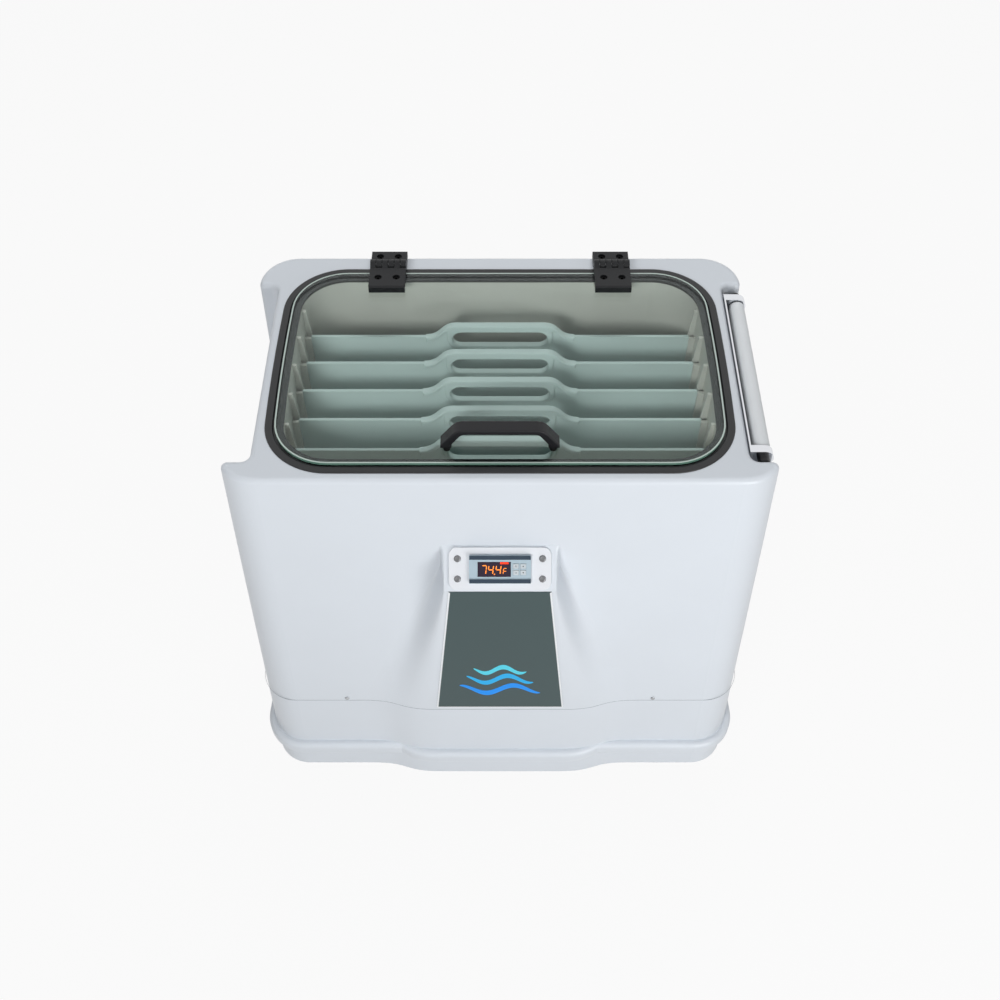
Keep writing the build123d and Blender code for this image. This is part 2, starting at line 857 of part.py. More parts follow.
barrel_clear = hinge_barrel_radius + knuckle_pocket
with BuildPart() as hinge_body_leaves:
    for side in (-1, 1):
        add(
            hinge_leaf(
                side * hinge_x,
                1,
                hinge_axis_y + barrel_clear,
                rear_y,
                deck_z,
                deck_z + hinge_leaf_thickness,
                hinge_body_screw_y,
            )
        )
write_piece(hinge_body_leaves.part, "hinge_body_leaves")

with BuildPart() as hinge_lid_leaves:
    for side in (-1, 1):
        add(
            hinge_leaf(
                side * hinge_x,
                0,
                hinge_axis_y - barrel_clear,
                hinge_axis_y - hinge_lid_reach,
                glass_top_z,
                glass_top_z + hinge_leaf_thickness,
                hinge_lid_screw_y,
            )
        )
write_piece(hinge_lid_leaves.part, "hinge_lid_leaves")

with BuildPart() as hinge_pins:
    for side in (-1, 1):
        with BuildSketch(Plane.YZ.offset(side * hinge_x - hinge_width / 2)):
            with Locations((hinge_axis_y, hinge_axis_z)):
                Circle(hinge_pin_radius)
        extrude(amount=hinge_width)
write_piece(hinge_pins.part, "hinge_pins")


def cap_screws(places, shank):
    """Socket cap screws: heads on the given planes, shanks below them."""
    with BuildPart() as screws:
        with Locations(*places):
            Cylinder(cap_head_radius, cap_head_height, align=(Align.CENTER, Align.CENTER, Align.MIN))
            Cylinder(cap_shank_radius, shank, align=(Align.CENTER, Align.CENTER, Align.MAX))
        for place in places:
            with BuildSketch(place.offset(cap_head_height)):
                RegularPolygon(cap_socket_flats / 2, 6, major_radius=False)
            extrude(amount=-cap_socket_depth, mode=Mode.SUBTRACT)
    return screws.part


screw_columns = [
    side * hinge_x + offset * hinge_screw_pitch / 2 for side in (-1, 1) for offset in (-1, 1)
]
body_seat_z = deck_z + hinge_leaf_thickness - counterbore_depth
lid_seat_z = glass_top_z + hinge_leaf_thickness - counterbore_depth
lid_shank = lid_seat_z - glass_bottom_z + nut_height
hinge_body_screws = cap_screws(
    [Plane(origin=(column, hinge_body_screw_y, body_seat_z)) for column in screw_columns],
    hinge_leaf_thickness + wall - counterbore_depth,
)
write_piece(hinge_body_screws, "hinge_body_screws")
hinge_lid_screws = cap_screws(
    [Plane(origin=(column, hinge_lid_screw_y, lid_seat_z)) for column in screw_columns],
    lid_shank - nut_height / 3,
)
write_piece(hinge_lid_screws, "hinge_lid_screws")

handle_y = front_y + handle_y_gap
handle_screw_x = handle_length / 2 - handle_strap
with BuildPart() as lid_nuts:
    nut_spots = [(column, hinge_lid_screw_y) for column in screw_columns]
    nut_spots += [(-handle_screw_x, handle_y), (handle_screw_x, handle_y)]
    with BuildSketch(Plane.XY.offset(glass_bottom_z)):
        with Locations(*nut_spots):
            RegularPolygon(dome_nut_flats / 2, 6, major_radius=False)
    extrude(amount=-dome_hex_height)
    with BuildSketch(Plane.XY.offset(glass_bottom_z)):
        with Locations(*nut_spots):
            Circle(dome_nut_flats / 2 - dome_washer)
    extrude(amount=-nut_height)
    with BuildSketch(Plane.XY.offset(glass_bottom_z)):
        with Locations(*nut_spots):
            Circle(cap_shank_radius + pin_gap)
    extrude(amount=-dome_bore, mode=Mode.SUBTRACT)
write_piece(lid_nuts.part, "lid_nuts")

with BuildPart() as lid_glass:
    add(lid_outline(glass_bottom_z, glass_inset))
    extrude(amount=glass_thickness)
    chamfer(lid_glass.faces().sort_by(Axis.Z)[-1].edges(), glass_edge)
    with BuildSketch(Plane.XY.offset(glass_bottom_z)):
        with Locations(*nut_spots):
            Circle(screw_hole_radius)
    extrude(amount=glass_thickness, mode=Mode.SUBTRACT)
write_piece(lid_glass.part, "lid_glass")

with BuildPart() as lid_handle:
    with BuildSketch(Plane.XZ.offset(-handle_y)) as handle_profile:
        half = handle_length / 2
        top = glass_top_z + handle_rise
        with BuildLine():
            Polyline(
                (-half, glass_top_z),
                (-half, glass_top_z + handle_foot_height),
                (-half + handle_shoulder, top),
                (half - handle_shoulder, top),
                (half, glass_top_z + handle_foot_height),
                (half, glass_top_z),
                close=True,
            )
        make_face()
        fillet(handle_profile.vertices().group_by(Axis.Y)[-1], handle_bend_radius)
    extrude(amount=handle_width / 2, both=True)
    with BuildSketch(Plane.XZ.offset(-handle_y)) as handle_gap:
        inner = half - handle_foot_width
        ceiling = top - handle_strap
        with BuildLine():
            Polyline(
                (-inner, glass_top_z - handle_foot_height),
                (-inner, glass_top_z + handle_foot_height / 2),
                (-inner + handle_lean, ceiling),
                (inner - handle_lean, ceiling),
                (inner, glass_top_z + handle_foot_height / 2),
                (inner, glass_top_z - handle_foot_height),
                close=True,
            )
        make_face()
        fillet(handle_gap.vertices().group_by(Axis.Y)[-1], handle_inner_radius)
    extrude(amount=handle_width, both=True, mode=Mode.SUBTRACT)
    raised = lid_handle.edges().filter_by(lambda edge: edge.center().Z > glass_top_z + handle_edge_radius)
    fillet(raised.filter_by(Axis.Y, reverse=True), handle_edge_radius)
    with BuildSketch(Plane.XY.offset(glass_top_z)):
        with Locations((-handle_screw_x, handle_y), (handle_screw_x, handle_y)):
            Circle(cap_shank_radius + pin_gap)
    extrude(amount=handle_foot_height, mode=Mode.SUBTRACT)
write_piece(lid_handle.part, "lid_handle")

with BuildPart() as handle_studs:
    with BuildSketch(Plane.XY.offset(glass_top_z + handle_foot_height)):
        with Locations((-handle_screw_x, handle_y), (handle_screw_x, handle_y)):
            Circle(cap_shank_radius)
    extrude(amount=-(handle_foot_height + glass_thickness + dome_hex_height))
write_piece(handle_studs.part, "handle_studs")

# ------------------------------------------------------------------ controller
plate_top = controller_plane.offset(plate_thickness)
plate_axis = Axis((0, 0, 0), controller_plane.z_dir)
display_place = (display_x, 0)
button_spots = [
    (button_x + column * button_pitch_x / 2, row * button_pitch_y / 2)
    for row in (1, -1)
    for column in (-1, 1)
]

with BuildPart() as controller_plate:
    with BuildSketch(controller_plane):
        RectangleRounded(plate_width, plate_height, plate_corner_radius)
        Rectangle(case_width + 2 * case_gap, case_height + 2 * case_gap, mode=Mode.SUBTRACT)
        with GridLocations(plate_screw_pitch_x, plate_screw_pitch_y, 2, 2):
            Circle(screw_hole_radius, mode=Mode.SUBTRACT)
    extrude(amount=plate_thickness)
    plate_rim = controller_plate.faces().sort_by(plate_axis)[-1].outer_wire().edges()
    fillet(plate_rim, plate_edge_radius)
write_piece(controller_plate.part, "controller_plate")

plate_screw_planes = [
    Plane(
        origin=plate_top.from_local_coords((x, y, 0)),
        x_dir=plate_top.x_dir,
        z_dir=plate_top.z_dir,
    )
    for x in (-plate_screw_pitch_x / 2, plate_screw_pitch_x / 2)
    for y in (-plate_screw_pitch_y / 2, plate_screw_pitch_y / 2)
]
with BuildPart() as plate_screws:
    with Locations(*plate_screw_planes):
        Cone(
            cap_head_radius,
            plate_screw_crown,
            plate_screw_head,
            align=(Align.CENTER, Align.CENTER, Align.MIN),
        )
        Cylinder(
            cap_shank_radius,
            plate_thickness + wall * 2,
            align=(Align.CENTER, Align.CENTER, Align.MAX),
        )
write_piece(plate_screws.part, "plate_screws")

with BuildPart() as controller_bezel:
    with BuildSketch(plate_top):
        RectangleRounded(bezel_width, bezel_height, bezel_corner)
    extrude(amount=bezel_thickness)
    with BuildSketch(plate_top.offset(bezel_thickness)):
        with Locations((0, (bezel_height - bezel_bar) / 2), (0, -(bezel_height - bezel_bar) / 2)):
            RectangleRounded(bezel_width, bezel_bar, bezel_corner)
    extrude(amount=bezel_bar_rise)
    with BuildSketch(plate_top.offset(bezel_thickness)):
        with Locations(display_place):
            Rectangle(display_width, display_height)
    extrude(amount=-display_thickness, mode=Mode.SUBTRACT)
    with BuildSketch(plate_top.offset(bezel_thickness)):
        with Locations(*button_spots):
            Rectangle(button_width + 2 * button_gap, button_height + 2 * button_gap)
    extrude(amount=-(bezel_thickness - bezel_floor), mode=Mode.SUBTRACT)
write_piece(controller_bezel.part, "controller_bezel")

with BuildPart() as controller_case:
    with BuildSketch(plate_top):
        Rectangle(case_width, case_height)
    extrude(amount=-(case_depth + plate_thickness))
write_piece(controller_case.part, "controller_case")

with BuildPart() as display_window:
    with BuildSketch(plate_top.offset(bezel_thickness - display_thickness)):
        with Locations(display_place):
            Rectangle(display_width - case_gap / 2, display_height - case_gap / 2)
    extrude(amount=display_thickness)
write_piece(display_window.part, "display_window")

button_names = ("button_set", "button_up", "button_power", "button_down")
button_foot = bezel_floor + button_travel + fit_gap
for button_name, button_spot in zip(button_names, button_spots):
    with BuildPart() as button:
        with BuildSketch(plate_top.offset(button_foot)):
            with Locations(button_spot):
                RectangleRounded(button_width, button_height, button_corner)
        extrude(amount=bezel_thickness - button_foot + button_proud)
        button_rim = button.faces().sort_by(plate_axis)[-1].edges()
        chamfer(button_rim, button_edge)
    write_piece(button.part, button_name)

# ------------------------------------------------------------------ console panel
face_run = console_nose_out - foot_reach(seam_z)
face_rise = nose_z - seam_z
face_drop = hypot(face_run, face_rise)
console_face = Plane(
    origin=(0, (2 * front_y - console_nose_out - foot_reach(seam_z)) / 2, (nose_z + seam_z) / 2),
    x_dir=(1, 0, 0),
    z_dir=(0, -face_rise, -face_run),
)
with BuildPart() as console_panel:
    with BuildSketch(console_face):
        with BuildLine():
            Polyline(
                (-panel_bottom_width / 2, -face_drop / 2 + panel_bottom_gap),
                (panel_bottom_width / 2, -face_drop / 2 + panel_bottom_gap),
                (panel_top_width / 2, face_drop / 2 - panel_top_gap),
                (-panel_top_width / 2, face_drop / 2 - panel_top_gap),
                close=True,
            )
        make_face()
    extrude(amount=panel_thickness)
write_piece(console_panel.part, "console_panel")

# ------------------------------------------------------------------ folding shelf
shelf_front = bracket_front + ear_thickness + ear_gap
panel_foot = pivot_z - shelf_height + shelf_thickness / 2
with BuildPart() as shelf_bracket:
    with BuildSketch(Plane.YZ.offset(recess_wall_x)):
        with Locations((bracket_middle, pivot_z - bracket_height / 2 + ear_radius)):
            Rectangle(bracket_rear - bracket_front, bracket_height)
    extrude(amount=bracket_thickness)
    for ear_y in (bracket_front + ear_thickness, bracket_rear):
        with BuildSketch(Plane.XZ.offset(-ear_y)):
            with Locations((shelf_x, pivot_z)):
                Circle(ear_radius)
            with BuildLine():
                Polyline(
                    (recess_wall_x, pivot_z + ear_radius),
                    (shelf_x, pivot_z + ear_radius),
                    (shelf_x + ear_radius, pivot_z),
                    (shelf_x + ear_radius / 2, pivot_z - ear_radius * 2),
                    (recess_wall_x, pivot_z - bracket_height + ear_radius),
                    close=True,
                )
            make_face()
            with Locations((shelf_x, pivot_z)):
                Circle(pivot_radius + pin_gap, mode=Mode.SUBTRACT)
        extrude(amount=ear_thickness)
    bracket_screw_z = pivot_z - bracket_height + ear_radius * 2
    with BuildSketch(Plane.YZ.offset(recess_wall_x)):
        with Locations((bracket_middle, bracket_screw_z)):
            with GridLocations(shelf_length / bracket_screw_count, 1, bracket_screw_count, 1):
                Circle(screw_hole_radius)
    extrude(amount=bracket_thickness, mode=Mode.SUBTRACT)
write_piece(shelf_bracket.part, "shelf_bracket")

with BuildPart() as bracket_screws:
    with BuildSketch(Plane.YZ.offset(recess_wall_x + bracket_thickness)):
        with Locations((bracket_middle, bracket_screw_z)):
            with GridLocations(shelf_length / bracket_screw_count, 1, bracket_screw_count, 1):
                Circle(cap_head_radius)
    extrude(amount=bracket_thickness)
    with BuildSketch(Plane.YZ.offset(recess_wall_x + bracket_thickness)):
        with Locations((bracket_middle, bracket_screw_z)):
            with GridLocations(shelf_length / bracket_screw_count, 1, bracket_screw_count, 1):
                Circle(cap_shank_radius)
    extrude(amount=-bracket_thickness)
write_piece(bracket_screws.part, "bracket_screws")

with BuildPart() as shelf_panel:
    with BuildSketch(Plane.XZ.offset(-shelf_front - shelf_length)) as shelf_side:
        half = shelf_thickness / 2
        with Locations((shelf_x, (pivot_z + panel_foot) / 2)):
            Rectangle(shelf_thickness, pivot_z - panel_foot)
        with Locations((shelf_x, pivot_z)):
            Circle(half)
        fillet(shelf_side.vertices().group_by(Axis.Y)[0], shelf_edge_radius)
    extrude(amount=shelf_length)
    with BuildSketch(Plane.XZ.offset(-shelf_front - shelf_length)):
        with Locations((shelf_x, pivot_z)):
            Circle(pivot_radius + pin_gap)
    extrude(amount=pivot_depth, mode=Mode.SUBTRACT)
    with BuildSketch(Plane.XZ.offset(-shelf_front)):
        with Locations((shelf_x, pivot_z)):
            Circle(pivot_radius + pin_gap)
    extrude(amount=-pivot_depth, mode=Mode.SUBTRACT)
write_piece(shelf_panel.part, "shelf_panel")

with BuildPart() as shelf_pivots:
    for face_y, direction in ((bracket_front, 1), (bracket_rear, -1)):
        with BuildSketch(Plane.XZ.offset(-face_y)):
            with Locations((shelf_x, pivot_z)):
                Circle(cap_radius)
        extrude(amount=direction * cap_length)
        with BuildSketch(Plane.XZ.offset(-face_y)):
            with Locations((shelf_x, pivot_z)):
                Circle(pivot_radius)
        extrude(amount=-direction * (ear_thickness + ear_gap + pivot_depth - fit_gap))
    chamfer(shelf_pivots.faces().sort_by(Axis.Y)[0].edges(), cap_radius / 4)
    chamfer(shelf_pivots.faces().sort_by(Axis.Y)[-1].edges(), cap_radius / 4)
write_piece(shelf_pivots.part, "shelf_pivots")

# ------------------------------------------------------------------ dividers
arch_z = rail_z + divider_arch_rise
slot_z = arch_z - divider_slot_drop - divider_slot_height / 2
arch_lead = (divider_tail_half - divider_arch_half) * flank_ease
rim_length = divider_slot_width + 2 * divider_rim_width
rim_joint_z = arch_z - divider_rim_width * 3 / 4


def arch_wire(drop):
    """The arch over the hand slot, from tail to tail, dropped by a distance."""
    Bezier(
        (-divider_tail_half, rail_z - drop),
        (-divider_tail_half + arch_lead, rail_z - drop),
        (-divider_arch_half - arch_lead, arch_z - drop),
        (-divider_arch_half, arch_z - drop),
    )
    Line((-divider_arch_half, arch_z - drop), (divider_arch_half, arch_z - drop))
    Bezier(
        (divider_arch_half, arch_z - drop),
        (divider_arch_half + arch_lead, arch_z - drop),
        (divider_tail_half - arch_lead, rail_z - drop),
        (divider_tail_half, rail_z - drop),
    )


def tank_divider(index):
    """One divider: a thin plate with a raised arch, a hand slot and a rolled rim."""
    middle_y = divider_y(index)
    side_limit = min(tank_side(middle_y - guide_half_gap), tank_side(middle_y + guide_half_gap))
    top_half = side_limit - tank_shrink(rail_z) - divider_side_gap
    bottom_half = side_limit - tank_shrink(rack_top_z) - divider_side_gap
    with BuildPart() as divider:
        with BuildSketch(Plane.XZ.offset(-middle_y)) as plate:
            with BuildLine():
                Polyline(
                    (-divider_tail_half, rail_z),
                    (-top_half + divider_corner_cut, rail_z),
                    (-top_half, rail_z - divider_corner_cut),
                    (-bottom_half, rack_top_z + fit_gap),
                    (bottom_half, rack_top_z + fit_gap),
                    (top_half, rail_z - divider_corner_cut),
                    (top_half - divider_corner_cut, rail_z),
                    (divider_tail_half, rail_z),
                )
                arch_wire(0.0)
            make_face()
        extrude(amount=divider_thickness / 2, both=True)
        with BuildSketch(Plane.XZ.offset(-middle_y)):
            with BuildLine():
                arch_wire(0.0)
                arch_wire(divider_rim_width)
                Line((-divider_tail_half, rail_z), (-divider_tail_half, rail_z - divider_rim_width))
                Line((divider_tail_half, rail_z), (divider_tail_half, rail_z - divider_rim_width))
            make_face()
            with Locations((0, slot_z)):
                SlotOverall(rim_length, divider_slot_height + 2 * divider_rim_width)
            with Locations((0, (slot_z + rim_joint_z) / 2)):
                Rectangle(rim_length, rim_joint_z - slot_z)
        extrude(amount=divider_rim_thickness / 2, both=True)
        with BuildSketch(Plane.XZ.offset(-middle_y)):
            with Locations((0, slot_z)):
                SlotOverall(divider_slot_width, divider_slot_height)
        extrude(amount=divider_rim_thickness, both=True, mode=Mode.SUBTRACT)
        rims = divider.faces().filter_by(Axis.Y).group_by(Axis.Y)
        fillet(rims[0].edges() + rims[-1].edges(), divider_rim_thickness / 5)
    return divider.part


for divider_index in range(divider_count):
    write_piece(tank_divider(divider_index), f"divider_{divider_index + 1}")

# ------------------------------------------------------------------ casters
swivel_z = base_z - caster_plate_thickness
race_z = swivel_z - race_height
crown_z = race_z - race_gap
rivet_z = crown_z - fork_thickness - race_gap
leg_x = wheel_width / 2 + fork_gap
crown_width = 2 * (leg_x + fork_thickness)
crown_length = caster_trail + race_radius
plate_planes = [Plane(origin=place) for place in caster_places]
hub_radius = axle_radius * 2
dish_half = wheel_width / 2 - dish_depth

with BuildPart() as caster_plates:
    with BuildSketch(*plate_planes):
        RectangleRounded(caster_plate, caster_plate, caster_plate_corner)
        with GridLocations(caster_hole_pitch, caster_hole_pitch, 2, 2):
            Circle(bolt_hole_radius, mode=Mode.SUBTRACT)
    extrude(amount=-caster_plate_thickness)
    with BuildSketch(*[plane.offset(-caster_plate_thickness) for plane in plate_planes]):
        Circle(race_radius)
    extrude(amount=-race_height)
    with BuildSketch(*[plane.offset(race_z - base_z) for plane in plate_planes]):
        Circle(kingpin_radius)
    extrude(amount=rivet_z - race_z)
    with BuildSketch(*[plane.offset(rivet_z - base_z) for plane in plate_planes]):
        Circle(rivet_radius)
    extrude(amount=-rivet_height)
write_piece(caster_plates.part, "caster_plates")

with BuildPart() as caster_bolts:
    with BuildSketch(*[plane.offset(-caster_plate_thickness) for plane in plate_planes]):
        with GridLocations(caster_hole_pitch, caster_hole_pitch, 2, 2):
            RegularPolygon(bolt_flats / 2, 6, major_radius=False)
    extrude(amount=-bolt_head)
    with BuildSketch(*[plane.offset(-caster_plate_thickness) for plane in plate_planes]):
        with GridLocations(caster_hole_pitch, caster_hole_pitch, 2, 2):
            Circle(bolt_radius)
    extrude(amount=caster_plate_thickness + wall)
write_piece(caster_bolts.part, "caster_bolts")


def caster_fork(x, y):
    """Swivel fork: a crown that turns on the kingpin and two tapered legs to the axle."""
    axle_y = y + caster_trail
    with BuildPart() as fork:
        with BuildSketch(Plane.XY.offset(crown_z)):
            with Locations((x, y)):
                Circle(race_radius)
            with Locations((x, y + caster_trail / 2)):
                Rectangle(crown_width, crown_length)
            with Locations((x, y)):
                Circle(kingpin_radius + pin_gap, mode=Mode.SUBTRACT)
        extrude(amount=-fork_thickness)
        for leg_start in (x - leg_x - fork_thickness, x + leg_x):
            with BuildSketch(Plane.YZ.offset(leg_start)):
                with BuildLine():
                    Polyline(
                        (axle_y - caster_trail - race_radius / 2, crown_z),
                        (axle_y + race_radius / 2, crown_z),
                        (axle_y + axle_head, wheel_radius),
                        (axle_y - axle_head, wheel_radius),
                        close=True,
                    )
                make_face()
                with Locations((axle_y, wheel_radius)):
                    Circle(axle_head)
                    Circle(axle_radius + pin_gap, mode=Mode.SUBTRACT)
            extrude(amount=fork_thickness)
    return fork.part


def caster_axle(x, axle_y):
    """Axle pin with a flat head outside each leg of the fork."""
    outer = leg_x + fork_thickness
    with BuildPart() as axle:
        with BuildSketch(Plane.YZ.offset(x - outer)):
            with Locations((axle_y, wheel_radius)):
                Circle(axle_radius)
        extrude(amount=2 * outer)
        with BuildSketch(Plane.YZ.offset(x - outer)):
            with Locations((axle_y, wheel_radius)):
                Circle(axle_head)
        extrude(amount=-axle_head_height)
        with BuildSketch(Plane.YZ.offset(x + outer)):
            with Locations((axle_y, wheel_radius)):
                Circle(axle_head)
        extrude(amount=axle_head_height)
    return axle.part


def caster_wheel(x, axle_y):
    """Wheel with a rounded tread, dished sides and a bored hub."""
    half = wheel_width / 2
    wheel_plane = Plane(origin=(x, axle_y, wheel_radius), x_dir=(0, 0, 1), z_dir=(0, 1, 0))
    with BuildPart() as wheel:
        with BuildSketch(wheel_plane) as profile:
            with BuildLine():
                Polyline(
                    (axle_radius + pin_gap, -half),
                    (hub_radius, -half),
                    (hub_radius, -dish_half),
                    (dish_radius, -dish_half),
                    (tread_radius, -half),
                    (wheel_radius, -half),
                    (wheel_radius, half),
                    (tread_radius, half),
                    (dish_radius, dish_half),
                    (hub_radius, dish_half),
                    (hub_radius, half),
                    (axle_radius + pin_gap, half),
                    close=True,
                )
            make_face()
            fillet(profile.vertices().group_by(Axis.X)[-1], wheel_round)
        revolve(axis=Axis((x, axle_y, wheel_radius), (1, 0, 0)))
    return wheel.part


for number, (place_x, place_y, _) in enumerate(caster_places, start=1):
    write_piece(caster_fork(place_x, place_y), f"caster_fork_{number}")
    write_piece(caster_axle(place_x, place_y + caster_trail), f"caster_axle_{number}")
    write_piece(caster_wheel(place_x, place_y + caster_trail), f"caster_wheel_{number}")

# ------------------------------------------------------------------ drain
valve_z = base_z - valve_drop
socket_top_z = base_z - fit_gap
pipe_bottom_z = valve_z + valve_radius / 2
valve_rear = (drain_x, valve_y - valve_length / 2, valve_z)
valve_plane = Plane(origin=valve_rear, x_dir=(1, 0, 0), z_dir=(0, 1, 0))
bore_plane = valve_plane.offset(valve_length / 4)
stem_plane = Plane(origin=(drain_x, valve_y, valve_z), x_dir=(0, 1, 0), z_dir=(-1, 0, 0))

with BuildPart() as drain_pipe:
    with BuildSketch(Plane.XY.offset(tank_floor_z)):
        with Locations((drain_x, valve_y)):
            Circle(drain_pipe_radius)
            Circle(drain_pipe_radius - drain_pipe_wall, mode=Mode.SUBTRACT)
    extrude(amount=pipe_bottom_z - tank_floor_z)
write_piece(drain_pipe.part, "drain_pipe")

with BuildPart() as drain_valve:
    with BuildSketch(valve_plane):
        Circle(valve_radius)
    extrude(amount=valve_length)
    chamfer(drain_valve.edges(), valve_radius / 6)
    with BuildSketch(Plane.XY.offset(valve_z)):
        with Locations((drain_x, valve_y)):
            Circle(drain_pipe_radius + valve_wall)
    extrude(amount=socket_top_z - valve_z)
    with BuildSketch(stem_plane):
        Circle(stem_boss_radius)
    extrude(amount=stem_boss_length)
    with BuildSketch(valve_plane.offset(valve_length)):
        Circle(spout_radius)
    extrude(amount=spout_length)
    with BuildSketch(Plane.XY.offset(socket_top_z)):
        with Locations((drain_x, valve_y)):
            Circle(drain_pipe_radius + pin_gap)
    extrude(amount=pipe_bottom_z - socket_top_z, mode=Mode.SUBTRACT)
    with BuildSketch(Plane.XY.offset(pipe_bottom_z)):
        with Locations((drain_x, valve_y)):
            Circle(spout_bore)
    extrude(amount=valve_z - pipe_bottom_z, mode=Mode.SUBTRACT)
    with BuildSketch(bore_plane):
        Circle(spout_bore)
    extrude(amount=valve_length + spout_length, mode=Mode.SUBTRACT)
    with BuildSketch(stem_plane.offset(spout_bore + pin_gap)):
        Circle(stem_radius + pin_gap)
    extrude(amount=stem_boss_length, mode=Mode.SUBTRACT)
write_piece(drain_valve.part, "drain_valve")

with BuildPart() as drain_lever:
    with BuildSketch(stem_plane.offset(stem_boss_length + fit_gap)):
        Circle(lever_hub_radius)
        with Locations((0, lever_length / 2)):
            SlotOverall(lever_length + lever_width, lever_width, rotation=90)
    extrude(amount=lever_thickness)
    chamfer(drain_lever.faces().sort_by(Axis.X)[0].edges(), lever_thickness / 5)
    with BuildSketch(stem_plane.offset(spout_bore + valve_wall)):
        Circle(stem_radius)
    extrude(amount=stem_boss_length + fit_gap - spout_bore - valve_wall)
write_piece(drain_lever.part, "drain_lever")

# ------------------------------------------------------------------ power entry
inlet_place = (-inlet_x, 0)
inlet_pins = [
    (-inlet_pin_pitch, -inlet_pin_drop),
    (0, inlet_pin_drop),
    (inlet_pin_pitch, -inlet_pin_drop),
]
rocker_place = (-rocker_x, 0)
rocker_span = rocker_height - 2 * rocker_wall
rocker_reach = rocker_span / 2 - rocker_gap
rocker_half = rocker_width / 2 - rocker_wall - rocker_gap
rocker_lean = rear_wall.z_dir * sin(radians(rocker_tilt))
rocker_plane = Plane(
    origin=rear_wall.from_local_coords((-rocker_x, 0, rocker_frame / 2)),
    x_dir=rear_wall.y_dir * cos(radians(rocker_tilt)) + rocker_lean,
    z_dir=rear_wall.x_dir,
)
rocker_ridge = rocker_frame / 2
rocker_rise = rocker_ridge + rocker_reach * tan(radians(rocker_tilt))

with BuildPart() as power_inlet:
    with BuildSketch(rear_wall):
        with Locations(inlet_place):
            RectangleRounded(inlet_width, inlet_height, inlet_corner)
            with GridLocations(inlet_screw_pitch, 1, 2, 1):
                Circle(inlet_screw_radius + pin_gap, mode=Mode.SUBTRACT)
    extrude(amount=inlet_flange)
    with BuildSketch(rear_wall):
        with Locations(inlet_place):
            Rectangle(inlet_body_width, inlet_body_height)
    extrude(amount=-inlet_depth)
    with BuildSketch(rear_wall.offset(inlet_flange)):
        with Locations(inlet_place):
            RectangleRounded(
                inlet_body_width - inlet_flange, inlet_body_height - inlet_flange, inlet_corner
            )
    extrude(amount=-inlet_cup_depth, mode=Mode.SUBTRACT)
    with BuildSketch(rear_wall.offset(inlet_flange - inlet_cup_depth)):
        with Locations(inlet_place):
            with Locations(*inlet_pins):
                Rectangle(inlet_pin_thickness, inlet_pin_width)
    extrude(amount=inlet_cup_depth - inlet_flange)
write_piece(power_inlet.part, "power_inlet")

with BuildPart() as inlet_screws:
    with BuildSketch(rear_wall.offset(inlet_flange)):
        with Locations(inlet_place):
            with GridLocations(inlet_screw_pitch, 1, 2, 1):
                Circle(inlet_screw_head)
    extrude(amount=inlet_screw_radius)
    with BuildSketch(rear_wall.offset(inlet_flange)):
        with Locations(inlet_place):
            with GridLocations(inlet_screw_pitch, 1, 2, 1):
                Circle(inlet_screw_radius)
    extrude(amount=-(inlet_flange + wall))
write_piece(inlet_screws.part, "inlet_screws")

with BuildPart() as rocker_frame_piece:
    with BuildSketch(rear_wall):
        with Locations(rocker_place):
            RectangleRounded(
                rocker_width + 2 * rocker_frame, rocker_height + 2 * rocker_frame, rocker_frame / 2
            )
    extrude(amount=rocker_frame)
    with BuildSketch(rear_wall):
        with Locations(rocker_place):
            Rectangle(rocker_width, rocker_height)
    extrude(amount=-rocker_depth)
    with BuildSketch(rear_wall.offset(rocker_frame)):
        with Locations(rocker_place):
            Rectangle(rocker_width - 2 * rocker_wall, rocker_span)
    extrude(amount=-rocker_depth, mode=Mode.SUBTRACT)
    with BuildSketch(rocker_plane.offset(-rocker_half - rocker_gap - rocker_pin)):
        Circle(rocker_pin_radius + pin_gap)
    extrude(amount=2 * (rocker_half + rocker_gap + rocker_pin), mode=Mode.SUBTRACT)
write_piece(rocker_frame_piece.part, "rocker_frame")

with BuildPart() as power_rocker:
    with BuildSketch(rocker_plane.offset(-rocker_half)):
        Circle(rocker_reach)
        with BuildLine():
            Polyline(
                (-rocker_reach, -rocker_reach / 2),
                (rocker_reach, -rocker_reach / 2),
                (rocker_reach, rocker_rise),
                (0, rocker_ridge),
                (-rocker_reach, rocker_rise),
                close=True,
            )
        make_face(mode=Mode.INTERSECT)
    extrude(amount=2 * rocker_half)
    with BuildSketch(rocker_plane.offset(-rocker_half - rocker_gap - rocker_pin / 2)):
        Circle(rocker_pin_radius)
    extrude(amount=2 * rocker_half + 2 * rocker_gap + rocker_pin)
write_piece(power_rocker.part, "power_rocker")
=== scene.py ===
"""Looks of a moist heat pack heater: a tank with dividers under a glass lid, on casters.

Everything is in metres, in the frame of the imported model: +Z up, +Y to the rear.
"""

import logging
from dataclasses import dataclass, field
from enum import Enum
from math import atan2, cos, hypot, pi, radians, sin, tan

